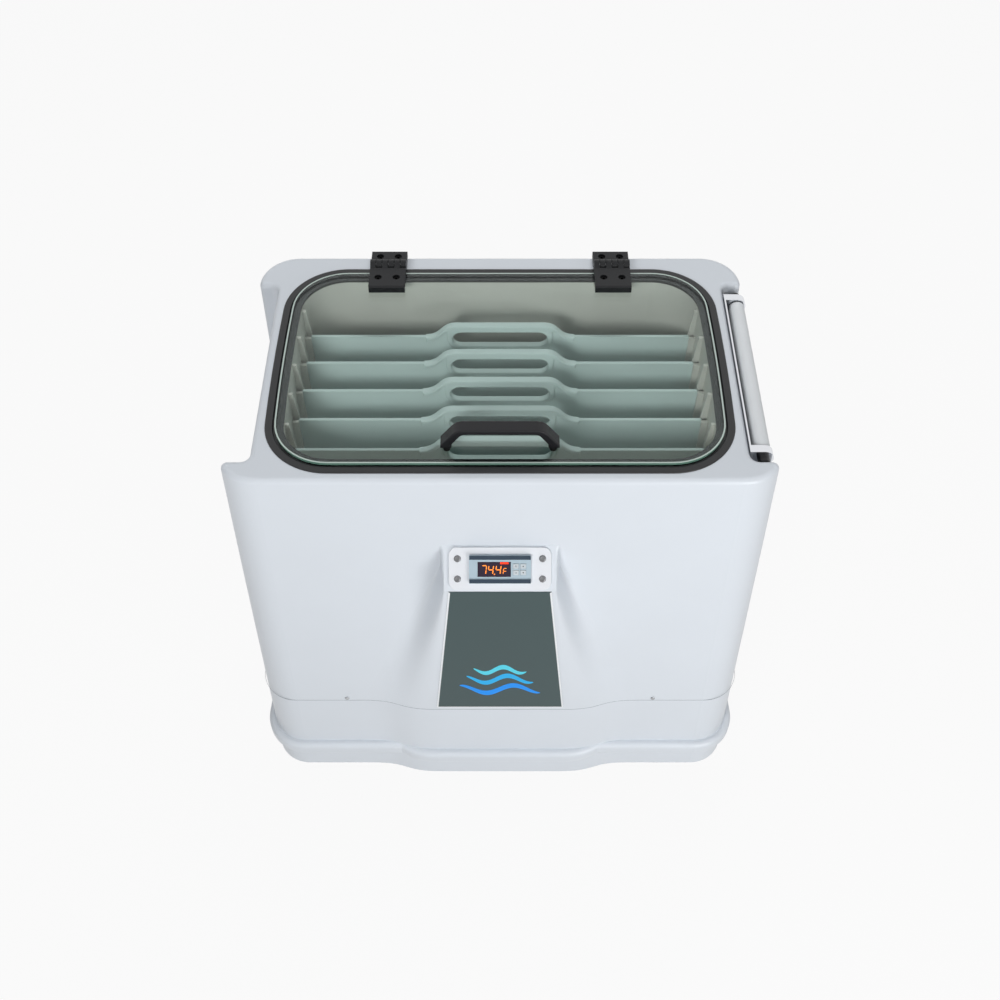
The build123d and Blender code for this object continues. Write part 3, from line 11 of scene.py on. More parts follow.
import bpy
import numpy as np
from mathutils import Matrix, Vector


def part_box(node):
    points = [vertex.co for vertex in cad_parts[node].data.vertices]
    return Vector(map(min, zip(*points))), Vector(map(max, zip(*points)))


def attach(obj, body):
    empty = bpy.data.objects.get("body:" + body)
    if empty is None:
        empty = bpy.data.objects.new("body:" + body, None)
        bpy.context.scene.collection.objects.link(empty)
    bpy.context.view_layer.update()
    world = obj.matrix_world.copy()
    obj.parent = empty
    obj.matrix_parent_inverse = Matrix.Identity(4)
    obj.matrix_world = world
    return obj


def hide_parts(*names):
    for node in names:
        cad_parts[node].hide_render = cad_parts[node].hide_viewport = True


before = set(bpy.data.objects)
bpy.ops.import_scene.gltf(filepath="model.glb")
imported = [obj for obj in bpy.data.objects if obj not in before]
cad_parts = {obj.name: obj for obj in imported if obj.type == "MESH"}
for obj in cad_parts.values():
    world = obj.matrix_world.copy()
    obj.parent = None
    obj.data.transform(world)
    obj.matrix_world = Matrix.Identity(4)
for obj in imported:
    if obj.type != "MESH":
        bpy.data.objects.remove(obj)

LOG = logging.getLogger("heat_pack_heater")
MM = 0.001
Colour = tuple[int, int, int]
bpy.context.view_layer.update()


# ------------------------------------------------------------------ colour and nodes
def linear(colour: Colour) -> tuple[float, float, float, float]:
    """Turns an 8-bit screen colour into the linear colour that a shader takes.

    Args:
        colour: Red, green and blue, each 0 to 255.

    Returns:
        Linear red, green, blue and an alpha of 1.
    """
    share = np.array(colour) / 255.0
    value = np.where(share <= 0.04045, share / 12.92, ((share + 0.055) / 1.055) ** 2.4)
    return (float(value[0]), float(value[1]), float(value[2]), 1.0)


class Grain(Enum):
    """The small texture on a surface."""

    PEEL = "fine orange peel of a moulded or painted face"
    SPARK = "even spark-eroded grain of a moulded black part"
    BRUSHED = "fine lines along X"
    CAST = "rough skin of a casting or of zinc plate"
    FOAM = "open cells"


@dataclass
class NodeDesk:
    """A material's nodes and links, with short ways to add to them."""

    material: bpy.types.Material

    def __post_init__(self) -> None:
        """Turns nodes on and keeps the shader."""
        self.material.use_nodes = True
        self.tree = self.material.node_tree
        self.shader = self.tree.nodes["Principled BSDF"]

    def add(self, kind: str, **values: object) -> bpy.types.Node:
        """Adds one node.

        Args:
            kind: Blender's name of the node type.
            values: Node properties by name; a key that is an input's name with
                spaces written as underscores sets that input.

        Returns:
            The new node.
        """
        node = self.tree.nodes.new(kind)
        for key, value in values.items():
            if hasattr(node, key):
                setattr(node, key, value)
            else:
                node.inputs[key.replace("_", " ")].default_value = value
        return node

    def link(self, source: bpy.types.NodeSocket, target: bpy.types.NodeSocket) -> None:
        """Joins two sockets."""
        self.tree.links.new(source, target)

    def place(self) -> bpy.types.NodeSocket:
        """The piece's own coordinates, in metres."""
        return self.add("ShaderNodeTexCoord").outputs["Object"]


@dataclass(frozen=True)
class Finish:
    """A solid finish: a colour with a slow mottle, a gloss and a fine grain."""

    name: str
    colour: Colour
    roughness: float = 0.4
    metallic: float = 0.0
    grain: Grain = Grain.PEEL
    grain_size: float = 0.8 * MM
    grain_depth: float = 0.01 * MM
    mottle: float = 0.02
    coat: float = 0.0
    gloss: float = 0.5

    def material(self) -> bpy.types.Material:
        """The finish as a material, made once and then shared.

        Returns:
            The material.
        """
        if self.name in bpy.data.materials and bpy.data.materials[self.name].get("finish"):
            return bpy.data.materials[self.name]
        material = bpy.data.materials.new(self.name)
        material["finish"] = True
        desk = NodeDesk(material)
        shader = desk.shader
        shader.inputs["Metallic"].default_value = self.metallic
        shader.inputs["Coat Weight"].default_value = self.coat
        shader.inputs["Specular IOR Level"].default_value = self.gloss
        place = desk.place()
        self.colour_into(desk, place)
        self.grain_into(desk, place)
        material.diffuse_color = linear(self.colour)
        return material

    def colour_into(self, desk: NodeDesk, place: bpy.types.NodeSocket) -> None:
        """Base colour and roughness, each varied by a slow noise.

        Args:
            desk: The material's nodes.
            place: The coordinates to read.
        """
        base = np.array(linear(self.colour)[:3])
        cloud = desk.add("ShaderNodeTexNoise", Scale=14.0, Detail=4.0)
        desk.link(place, cloud.inputs["Vector"])
        ramp = desk.add("ShaderNodeValToRGB")
        ramp.color_ramp.elements[0].position = 0.3
        ramp.color_ramp.elements[1].position = 0.7
        ramp.color_ramp.elements[0].color = (*(base * (1 - self.mottle)), 1.0)
        ramp.color_ramp.elements[1].color = (*np.minimum(base * (1 + self.mottle), 1.0), 1.0)
        desk.link(cloud.outputs["Fac"], ramp.inputs["Fac"])
        desk.link(ramp.outputs["Color"], desk.shader.inputs["Base Color"])
        gloss = desk.add(
            "ShaderNodeMapRange", To_Min=self.roughness * 0.9, To_Max=min(1.0, self.roughness * 1.12)
        )
        desk.link(cloud.outputs["Fac"], gloss.inputs["Value"])
        desk.link(gloss.outputs["Result"], desk.shader.inputs["Roughness"])

    def grain_into(self, desk: NodeDesk, place: bpy.types.NodeSocket) -> None:
        """The fine grain, as a bump.

        Args:
            desk: The material's nodes.
            place: The coordinates to read.
        """
        stretch = (0.03, 1.0, 1.0) if self.grain is Grain.BRUSHED else (1.0, 1.0, 1.0)
        mapping = desk.add("ShaderNodeMapping", Scale=stretch)
        desk.link(place, mapping.inputs["Vector"])
        if self.grain in (Grain.SPARK, Grain.FOAM):
            cells = desk.add("ShaderNodeTexVoronoi", Scale=1.0 / self.grain_size)
            height = cells.outputs["Distance"]
        else:
            detail = 6.0 if self.grain is Grain.CAST else 2.0
            cells = desk.add("ShaderNodeTexNoise", Scale=1.0 / self.grain_size, Detail=detail)
            height = cells.outputs["Fac"]
        desk.link(mapping.outputs["Vector"], cells.inputs["Vector"])
        bump = desk.add("ShaderNodeBump", Strength=0.6, Distance=self.grain_depth)
        desk.link(height, bump.inputs["Height"])
        desk.link(bump.outputs["Normal"], desk.shader.inputs["Normal"])


@dataclass(frozen=True)
class ClearSheet:
    """Clear glass with a faint tint and a little dust in its gloss."""

    name: str
    tint: Colour
    roughness: float = 0.02
    ior: float = 1.3

    def material(self) -> bpy.types.Material:
        """The glass as a material.

        Returns:
            The material.
        """
        material = bpy.data.materials.new(self.name)
        desk = NodeDesk(material)
        shader = desk.shader
        shader.inputs["Base Color"].default_value = linear(self.tint)
        shader.inputs["Transmission Weight"].default_value = 1.0
        shader.inputs["IOR"].default_value = self.ior
        dust = desk.add("ShaderNodeTexNoise", Scale=60.0, Detail=5.0)
        desk.link(desk.place(), dust.inputs["Vector"])
        gloss = desk.add(
            "ShaderNodeMapRange", From_Min=0.4, From_Max=0.8, To_Min=self.roughness, To_Max=self.roughness * 2
        )
        desk.link(dust.outputs["Fac"], gloss.inputs["Value"])
        desk.link(gloss.outputs["Result"], shader.inputs["Roughness"])
        return material


@dataclass(frozen=True)
class Glow:
    """A lit segment behind a smoked window, a little uneven in brightness."""

    name: str
    colour: Colour
    strength: float

    def material(self) -> bpy.types.Material:
        """The glow as a material.

        Returns:
            The material.
        """
        material = bpy.data.materials.new(self.name)
        desk = NodeDesk(material)
        shader = desk.shader
        base = np.array(linear(self.colour)[:3])
        shader.inputs["Base Color"].default_value = linear(self.colour)
        shader.inputs["Roughness"].default_value = 0.3
        shader.inputs["Emission Strength"].default_value = self.strength
        patch = desk.add("ShaderNodeTexNoise", Scale=900.0, Detail=2.0)
        desk.link(desk.place(), patch.inputs["Vector"])
        ramp = desk.add("ShaderNodeValToRGB")
        ramp.color_ramp.elements[0].color = (*(base * 0.7), 1.0)
        ramp.color_ramp.elements[1].color = (*base, 1.0)
        desk.link(patch.outputs["Fac"], ramp.inputs["Fac"])
        desk.link(ramp.outputs["Color"], shader.inputs["Emission Color"])
        return material


@dataclass(frozen=True)
class WheelFinish(Finish):
    """A caster wheel: a plastic centre inside a grey tread, told apart by radius."""

    centre: tuple[float, float, float] = (0.0, 0.0, 0.0)
    tread_radius: float = 28.0 * MM
    hub_colour: Colour = (196, 199, 202)

    def colour_into(self, desk: NodeDesk, place: bpy.types.NodeSocket) -> None:
        """Tread colour outside the tread radius, hub colour inside it.

        Args:
            desk: The material's nodes.
            place: The coordinates to read.
        """
        away = tuple(-value for value in self.centre)
        shift = desk.add("ShaderNodeMapping", Location=away, Scale=(0.0, 1.0, 1.0))
        shift.inputs["Location"].default_value[0] = 0.0
        desk.link(place, shift.inputs["Vector"])
        reach = desk.add("ShaderNodeVectorMath", operation="LENGTH")
        desk.link(shift.outputs["Vector"], reach.inputs[0])
        edge = desk.add(
            "ShaderNodeMapRange", From_Min=self.tread_radius - 0.1 * MM, From_Max=self.tread_radius + 0.1 * MM
        )
        desk.link(reach.outputs["Value"], edge.inputs["Value"])
        mix = desk.add("ShaderNodeMix", data_type="RGBA")
        mix.inputs["A"].default_value = linear(self.hub_colour)
        mix.inputs["B"].default_value = linear(self.colour)
        desk.link(edge.outputs["Result"], mix.inputs["Factor"])
        desk.link(mix.outputs["Result"], desk.shader.inputs["Base Color"])
        desk.shader.inputs["Roughness"].default_value = self.roughness


HOUSING = Finish(
    "housing_plastic", (217, 223, 230), roughness=0.36,
    grain_size=1.6 * MM, grain_depth=0.02 * MM, mottle=0.008, coat=0.1,
)
TANK = Finish("tank_plastic", (196, 196, 188), roughness=0.42, grain_size=1.2 * MM, mottle=0.03)
DIVIDER = Finish(
    "divider_plastic", (194, 210, 207), roughness=0.42, grain_size=1.0 * MM, mottle=0.02, gloss=0.35
)
SEAL = Finish("seal_rubber", (22, 23, 25), roughness=0.36, grain_size=0.5 * MM, mottle=0.12)
HINGE = Finish(
    "hinge_nylon", (26, 27, 29), roughness=0.45,
    grain=Grain.SPARK, grain_size=0.4 * MM, mottle=0.08, gloss=0.3,
)
HANDLE = Finish(
    "handle_nylon", (25, 25, 28), roughness=0.4,
    grain=Grain.SPARK, grain_size=0.5 * MM, mottle=0.08, gloss=0.3,
)
STEEL = Finish(
    "stainless_steel", (172, 174, 176), roughness=0.28, metallic=1.0,
    grain=Grain.BRUSHED, grain_size=0.3 * MM,
)
DARK_STEEL = Finish(
    "screw_steel", (128, 129, 131), roughness=0.3, metallic=1.0,
    grain=Grain.CAST, grain_size=0.4 * MM, mottle=0.06,
)
BLACK_SCREW = Finish(
    "black_oxide", (12, 12, 13), roughness=0.5, metallic=0.4,
    grain=Grain.CAST, grain_size=0.4 * MM, gloss=0.2,
)
CHROME = Finish(
    "chrome_plate", (222, 224, 228), roughness=0.08, metallic=1.0,
    grain_size=2.0 * MM, grain_depth=0.004 * MM,
)
BRASS = Finish(
    "brass", (190, 156, 92), roughness=0.3, metallic=1.0, grain=Grain.CAST, grain_size=0.5 * MM
)
ZINC = Finish(
    "zinc_plate", (176, 178, 180), roughness=0.34, metallic=1.0,
    grain=Grain.CAST, grain_size=0.6 * MM, mottle=0.06,
)
FOAM = Finish(
    "jacket_foam", (214, 205, 176), roughness=0.9,
    grain=Grain.FOAM, grain_size=2.0 * MM, grain_depth=0.3 * MM, mottle=0.08,
)
PLATE = Finish(
    "plate_plastic", (228, 231, 236), roughness=0.3, grain_size=0.9 * MM, mottle=0.006, coat=0.2
)
BEZEL = Finish("bezel_plastic", (176, 195, 206), roughness=0.38, grain=Grain.SPARK, grain_size=0.3 * MM)
BEZEL_BAR = Finish(
    "bezel_bar_plastic", (56, 70, 84), roughness=0.42, grain=Grain.SPARK, grain_size=0.3 * MM, gloss=0.3
)
BUTTON_PAD = Finish("button_pad", (200, 208, 213), roughness=0.5, grain_size=0.5 * MM)
CASE = Finish("case_plastic", (34, 35, 38), roughness=0.45, grain=Grain.SPARK)
WINDOW = Finish(
    "display_window", (34, 14, 40), roughness=0.14,
    grain_size=0.6 * MM, grain_depth=0.001 * MM, mottle=0.2, gloss=0.4,
)
INK = Finish("printed_ink", (44, 48, 54), roughness=0.5, grain_size=0.3 * MM, gloss=0.3)
SHELF = Finish(
    "shelf_laminate", (228, 232, 235), roughness=0.45, grain_size=1.2 * MM, grain_depth=0.03 * MM
)
CAP = Finish("cap_plastic", (18, 18, 20), roughness=0.3, grain_size=0.6 * MM, gloss=0.35)
PIPE = Finish("pipe_plastic", (206, 206, 200), roughness=0.4)
LEVER = Finish("lever_paint", (42, 84, 140), roughness=0.35)
INLET = Finish("inlet_plastic", (28, 28, 30), roughness=0.35, grain=Grain.SPARK, grain_size=0.4 * MM)
ROCKER = Finish("rocker_plastic", (22, 22, 24), roughness=0.2, coat=0.3)
LABEL = Finish(
    "label_film", (66, 82, 83), roughness=0.45,
    grain_size=0.7 * MM, grain_depth=0.006 * MM, mottle=0.03, gloss=0.2,
)
LABEL_EDGE = Finish("label_edge", (236, 239, 242), roughness=0.4)
WAVE_PALE = Finish("wave_pale", (86, 214, 236), roughness=0.42, gloss=0.3)
WAVE_CYAN = Finish("wave_cyan", (28, 178, 240), roughness=0.42, gloss=0.3)
WAVE_BLUE = Finish("wave_blue", (0, 146, 248), roughness=0.42, gloss=0.3)
SEAM_SHADE = Finish("seam_shade", (150, 156, 164), roughness=0.7)
ARRIS = Finish(
    "glass_arris", (190, 206, 199), roughness=0.25, grain_size=0.7 * MM, grain_depth=0.004 * MM
)
GLASS_SIDE = Finish(
    "glass_side", (96, 128, 116), roughness=0.2, grain_size=0.7 * MM, grain_depth=0.004 * MM, gloss=0.35
)
GLASS = ClearSheet("lid_glass_clear", (240, 249, 247))
DIGIT = Glow("digit_glow", (255, 140, 46), 0.95)
STATUS = Glow("status_glow", (255, 52, 12), 1.3)


# ------------------------------------------------------------------ meshes from arrays
@dataclass(frozen=True)
class Ride:
    """What a new piece moves with, and the name of a slot."""

    body: str
    slot: str


Shape = tuple[np.ndarray, list[list[int]]]


def new_piece(name: str, shape: Shape, finish: "Finish | Glow", ride: Ride) -> bpy.types.Object:
    """Makes a piece from vertices and faces, dresses it and lets it ride.

    Args:
        name: The piece's name.
        shape: Vertices, one row each, in metres, and the vertex numbers of each face.
        finish: Its finish.
        ride: The body it moves with.

    Returns:
        The new object.
    """
    points, faces = shape
    mesh = bpy.data.meshes.new(name)
    mesh.from_pydata(points.tolist(), [], faces)
    mesh.validate()
    piece = bpy.data.objects.new(name, mesh)
    bpy.context.scene.collection.objects.link(piece)
    piece.data.materials.append(finish.material())
    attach(piece, ride.body)
    LOG.info("%s: %d faces", name, len(mesh.polygons))
    return piece


def grid_faces(
    rows: int, columns: int, round_rows: bool = False, round_columns: bool = False
) -> list[list[int]]:
    """Quads of a grid of vertices that are numbered row by row.

    Args:
        rows: Number of rows of vertices.
        columns: Number of vertices in a row.
        round_rows: True if the last row joins the first.
        round_columns: True if each row closes on itself.

    Returns:
        The quads.
    """
    row = np.arange(rows if round_rows else rows - 1)[:, None]
    column = np.arange(columns if round_columns else columns - 1)[None, :]
    below, above = row % rows, (row + 1) % rows
    left, right = column % columns, (column + 1) % columns
    corners = np.stack(
        [
            below * columns + left,
            below * columns + right,
            above * columns + right,
            above * columns + left,
        ],
        axis=-1,
    )
    return corners.reshape(-1, 4).tolist()


@dataclass(frozen=True)
class Face:
    """A flat place in space: its middle, its direction to the right and its upward one."""

    middle: np.ndarray
    right: np.ndarray
    up: np.ndarray

    @property
    def normal(self) -> np.ndarray:
        """The way the face looks: right crossed with up."""
        return np.cross(self.right, self.up)

    def put(self, flat: np.ndarray, lift: np.ndarray | float = 0.0) -> np.ndarray:
        """Places flat points on the face: middle + x right + y up + lift normal.

        Args:
            flat: Points across and up, one row each.
            lift: Height above the face.

        Returns:
            Points in space.
        """
        height = np.broadcast_to(lift, flat.shape[:-1])[..., None]
        return self.middle + flat[..., :1] * self.right + flat[..., 1:] * self.up + height * self.normal

    def shifted(self, across: float, up: float, out: float = 0.0) -> "Face":
        """The same face with its middle moved."""
        return Face(self.middle + across * self.right + up * self.up + out * self.normal, self.right, self.up)


def prism(outline: np.ndarray, face: Face, foot: float, top: float) -> Shape:
    """A flat outline carried straight up from one height to another, closed at both ends.

    Args:
        outline: Corners in order, anticlockwise as the face is looked at.
        face: The face it stands on.
        foot: Height of its foot above the face.
        top: Height of its top above the face.

    Returns:
        Vertices and faces.
    """
    count = len(outline)
    points = np.vstack([face.put(outline, foot), face.put(outline, top)])
    walls = grid_faces(2, count, round_columns=True)
    return points, walls + [list(range(count, 2 * count)), list(range(count - 1, -1, -1))]


def join(parts: list[Shape]) -> Shape:
    """Puts several meshes into one, with the later ones' vertex numbers moved up."""
    points: list[np.ndarray] = []
    faces: list[list[int]] = []
    start = 0
    for part_points, part_faces in parts:
        points.append(part_points)
        faces += [[index + start for index in corner] for corner in part_faces]
        start += len(part_points)
    return np.vstack(points), faces


def turned(
    face: Face, profile: np.ndarray, steps: int, sides: int = 0, sided: np.ndarray | None = None
) -> Shape:
    """A profile of radius and height turned about the face's normal.

    The radius of a point is its profile radius; where sided is 1 it is divided by the
    cosine of the angle from the middle of the nearest side, which makes a polygon.

    Args:
        face: Its middle is the axis and its normal the axis's direction.
        profile: Radius and height of each ring, from the outside foot to the centre.
        steps: Number of points round a ring.
        sides: Number of flats for the rings that are sided.
        sided: For each ring, 1 where it is a polygon and 0 where it is round.

    Returns:
        Vertices and faces.
    """
    angle = np.linspace(0, 2 * pi, steps, endpoint=False)
    radius = np.repeat(profile[:, :1], steps, axis=1)
    if sides and sided is not None:
        sector = 2 * pi / sides
        off = (angle % sector) - sector / 2
        flat = 1 / np.cos(off) * cos(sector / 2)
        radius = radius * (1 + sided[:, None] * (flat[None, :] - 1))
    flat_points = np.stack([radius * np.cos(angle), radius * np.sin(angle)], axis=-1)
    points = face.put(flat_points, np.repeat(profile[:, 1:], steps, axis=1))
    faces = grid_faces(len(profile), steps, round_columns=True)
    rings = len(profile)
    faces.append([(rings - 1) * steps + index for index in range(steps)])
    faces.append(list(range(steps - 1, -1, -1)))
    return points.reshape(-1, 3), faces


def smooth(piece: bpy.types.Object, angle: float = 35.0) -> bpy.types.Object:
    """Shades a piece smooth except at edges sharper than an angle in degrees."""
    piece.data.shade_smooth()
    piece.data.set_sharp_from_angle(angle=radians(angle))
    return piece


def dress(node: str, finish: Finish | ClearSheet) -> None:
    """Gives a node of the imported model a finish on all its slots.

    Args:
        node: The node's name.
        finish: Its finish.
    """
    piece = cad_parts[node]
    material = finish.material()
    if not piece.data.materials:
        piece.data.materials.append(material)
    for index in range(len(piece.data.materials)):
        piece.data.materials[index] = material
    LOG.info("%s dressed in %s", node, finish.name)


def middle_of(node: str) -> np.ndarray:
    """Middle of a node's box."""
    low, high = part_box(node)
    return (np.array(low) + np.array(high)) / 2


# ------------------------------------------------------------------ cabinet
@dataclass
class Cabinet:
    """The moulded upper housing and base, with the seam between them."""

    seam_z: float = 289.0 * MM
    deck_z: float = 765.0 * MM
    draft: float = 1.2
    front_half: float = 333.0 * MM
    rear_half: float = 315.0 * MM
    depth: float = 396.0 * MM
    corner: float = 50.0 * MM
    foot_half: float = 92.0 * MM
    foot_flank: float = 104.0 * MM
    foot_out: float = 25.0 * MM
    seam_radius: float = 0.45 * MM
    front_y: float = field(init=False)

    def __post_init__(self) -> None:
        """Reads where the front of the deck is."""
        low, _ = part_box("upper_housing")
        self.front_y = low[1] + 42.0 * MM

    def seam_path(self) -> np.ndarray:
        """The outline of the cabinet at the seam, as points in order.

        Straight sides joined by quarter-round corners, with a console foot on the
        front whose flanks follow a cubic curve: both ends level, middle sloping.

        Returns:
            Points across and back, one row each.
        """
        grow = (self.deck_z - self.seam_z) * tan(radians(self.draft))
        front = self.front_y - grow
        rear = self.front_y + self.depth + grow
        half, back_half = self.front_half + grow, self.rear_half + grow
        nose = self.front_y - self.foot_out
        share = np.linspace(0, 1, 33)[:, None]
        lead = self.foot_flank * 0.55
        wide = self.foot_half + self.foot_flank
        anchors = np.array(
            [(-wide, front), (-wide + lead, front), (-self.foot_half - lead, nose), (-self.foot_half, nose)]
        )
        weights = np.hstack(
            [(1 - share) ** 3, 3 * share * (1 - share) ** 2, 3 * share**2 * (1 - share), share**3]
        )
        left = weights @ anchors
        right = left[::-1] * (-1, 1)
        angle = np.linspace(0, pi / 2, 17)[:, None]

        def arc(centre_x: float, centre_y: float, start: float) -> np.ndarray:
            """Quarter circle about a centre, from a start angle."""
            across = centre_x + self.corner * np.cos(start + angle)
            return np.hstack([across, centre_y + self.corner * np.sin(start + angle)])

        return np.vstack(
            [
                arc(-half + self.corner, front + self.corner, pi),
                left,
                right,
                arc(half - self.corner, front + self.corner, -pi / 2),
                arc(back_half - self.corner, rear - self.corner, 0),
                arc(-back_half + self.corner, rear - self.corner, pi / 2),
            ]
        )

    def build(self) -> None:
        """Dresses the housings and lays the seam's shade line."""
        dress("upper_housing", HOUSING)
        dress("base_housing", HOUSING)
        dress("seam_screws", STEEL)
        path = self.seam_path()
        ahead = np.roll(path, -1, axis=0) - np.roll(path, 1, axis=0)
        ahead /= np.linalg.norm(ahead, axis=1, keepdims=True)
        out = np.stack([ahead[:, 1], -ahead[:, 0]], axis=1)
        turn = np.linspace(0, 2 * pi, 8, endpoint=False)
        across = path[:, None, :] + out[:, None, :] * (self.seam_radius * 0.5 * np.cos(turn))[None, :, None]
        height = np.broadcast_to(self.seam_z + self.seam_radius * np.sin(turn), across.shape[:2])[..., None]
        points = np.concatenate([across, height], axis=-1).reshape(-1, 3)
        faces = grid_faces(len(path), len(turn), round_rows=True, round_columns=True)
        smooth(new_piece("seam_line", (points, faces), SEAM_SHADE, Ride("cabinet", "housing")))


# ------------------------------------------------------------------ tank
@dataclass
class Tank:
    """The water tank with what stands in it and hangs under it."""

    finishes: dict[str, Finish] = field(
        default_factory=lambda: {
            "water_tank": TANK,
            "tank_insulation": FOAM,
            "pack_rack": STEEL,
            "heating_element": STEEL,
            "gland_nuts": BRASS,
            "temperature_probe": STEEL,
            "drain_pipe": PIPE,
            "drain_valve": BRASS,
            "drain_lever": LEVER,
        }
    )
    dividers: int = 5

    def build(self) -> None:
        """Dresses the tank, its dividers and its drain."""
        for node, finish in self.finishes.items():
            dress(node, finish)
        for number in range(1, self.dividers + 1):
            dress(f"divider_{number}", DIVIDER)


# ------------------------------------------------------------------ lid
@dataclass
class Lid:
    """The glass lid on its seal, with its hinges and handle."""

    finishes: dict[str, Finish] = field(
        default_factory=lambda: {
            "lid_seal": SEAL,
            "lid_handle": HANDLE,
            "handle_studs": STEEL,
            "lid_nuts": CAP,
            "hinge_body_leaves": HINGE,
            "hinge_lid_leaves": HINGE,
            "hinge_pins": STEEL,
            "hinge_body_screws": BLACK_SCREW,
            "hinge_lid_screws": BLACK_SCREW,
        }
    )

    bulge: float = 4.5 * MM
    corner: float = 68.0 * MM
    arris_width: float = 1.8 * MM
    arris_drop: float = 3.4 * MM
    lift: float = 0.06 * MM

    def outline(self, inset: float) -> np.ndarray:
        """The glass's outline drawn in by an inset: straight ends, bowed sides, round corners.

        Each side is an arc through its two ends and a middle that stands out by the
        bulge, so its radius is (half depth squared + bulge squared) / (2 bulge). A
        corner's centre lies one corner radius in from the end and from that arc.

        Args:
            inset: How far the outline is drawn in.

        Returns:
            Points across and back, anticlockwise from the front right corner.
        """
        low, high = (np.array(corner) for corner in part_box("lid_glass"))
        half_depth = (high[1] - low[1]) / 2
        middle_y = (high[1] + low[1]) / 2
        reach = high[0] - inset
        side = (half_depth**2 + self.bulge**2) / (2 * self.bulge)
        corner = self.corner - inset
        up = half_depth - inset - corner
        across = reach - side + np.sqrt((side - corner) ** 2 - up**2)
        lean = np.arctan2(up, across - reach + side)
        turn = np.linspace(0.0, 1.0, 13)
        front = -pi / 2 + (pi / 2 - lean) * turn
        bow = -lean + 2 * lean * turn[1:-1]
        rear = lean + (pi / 2 - lean) * turn
        right = np.vstack(
            [
                np.stack([across + corner * np.cos(front), -up + corner * np.sin(front)], axis=1),
                np.stack([reach - side + side * np.cos(bow), side * np.sin(bow)], axis=1),
                np.stack([across + corner * np.cos(rear), up + corner * np.sin(rear)], axis=1),
            ]
        )
        ring = np.vstack([right, right[::-1] * (-1, 1)])
        return ring + (0.0, middle_y)

    def arris(self) -> None:
        """The ground edge of the glass: a skin over the top of its side and the rim of its face."""
        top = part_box("lid_glass")[1][2] + self.lift
        outer, inner = self.outline(-self.lift), self.outline(self.arris_width)
        bands = (
            ("glass_arris", ARRIS, ((outer, top), (inner, top))),
            ("glass_side", GLASS_SIDE, ((outer, top - self.arris_drop), (outer, top))),
        )
        for name, finish, rings in bands:
            points = np.vstack([np.hstack([ring, np.full((len(ring), 1), height)]) for ring, height in rings])
            faces = grid_faces(len(rings), len(outer), round_columns=True)
            new_piece(name, (points, faces), finish, Ride("lid", "glass"))

    def build(self) -> None:
        """Dresses the lid's nodes, lets daylight through the glass and adds its ground edge."""
        for node, finish in self.finishes.items():
            dress(node, finish)
        dress("lid_glass", GLASS)
        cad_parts["lid_glass"].visible_shadow = False
        self.arris()


# ------------------------------------------------------------------ controller
SEGMENTS = {
    "7": "abc",
    "4": "bcfg",
    "F": "aefg",
}


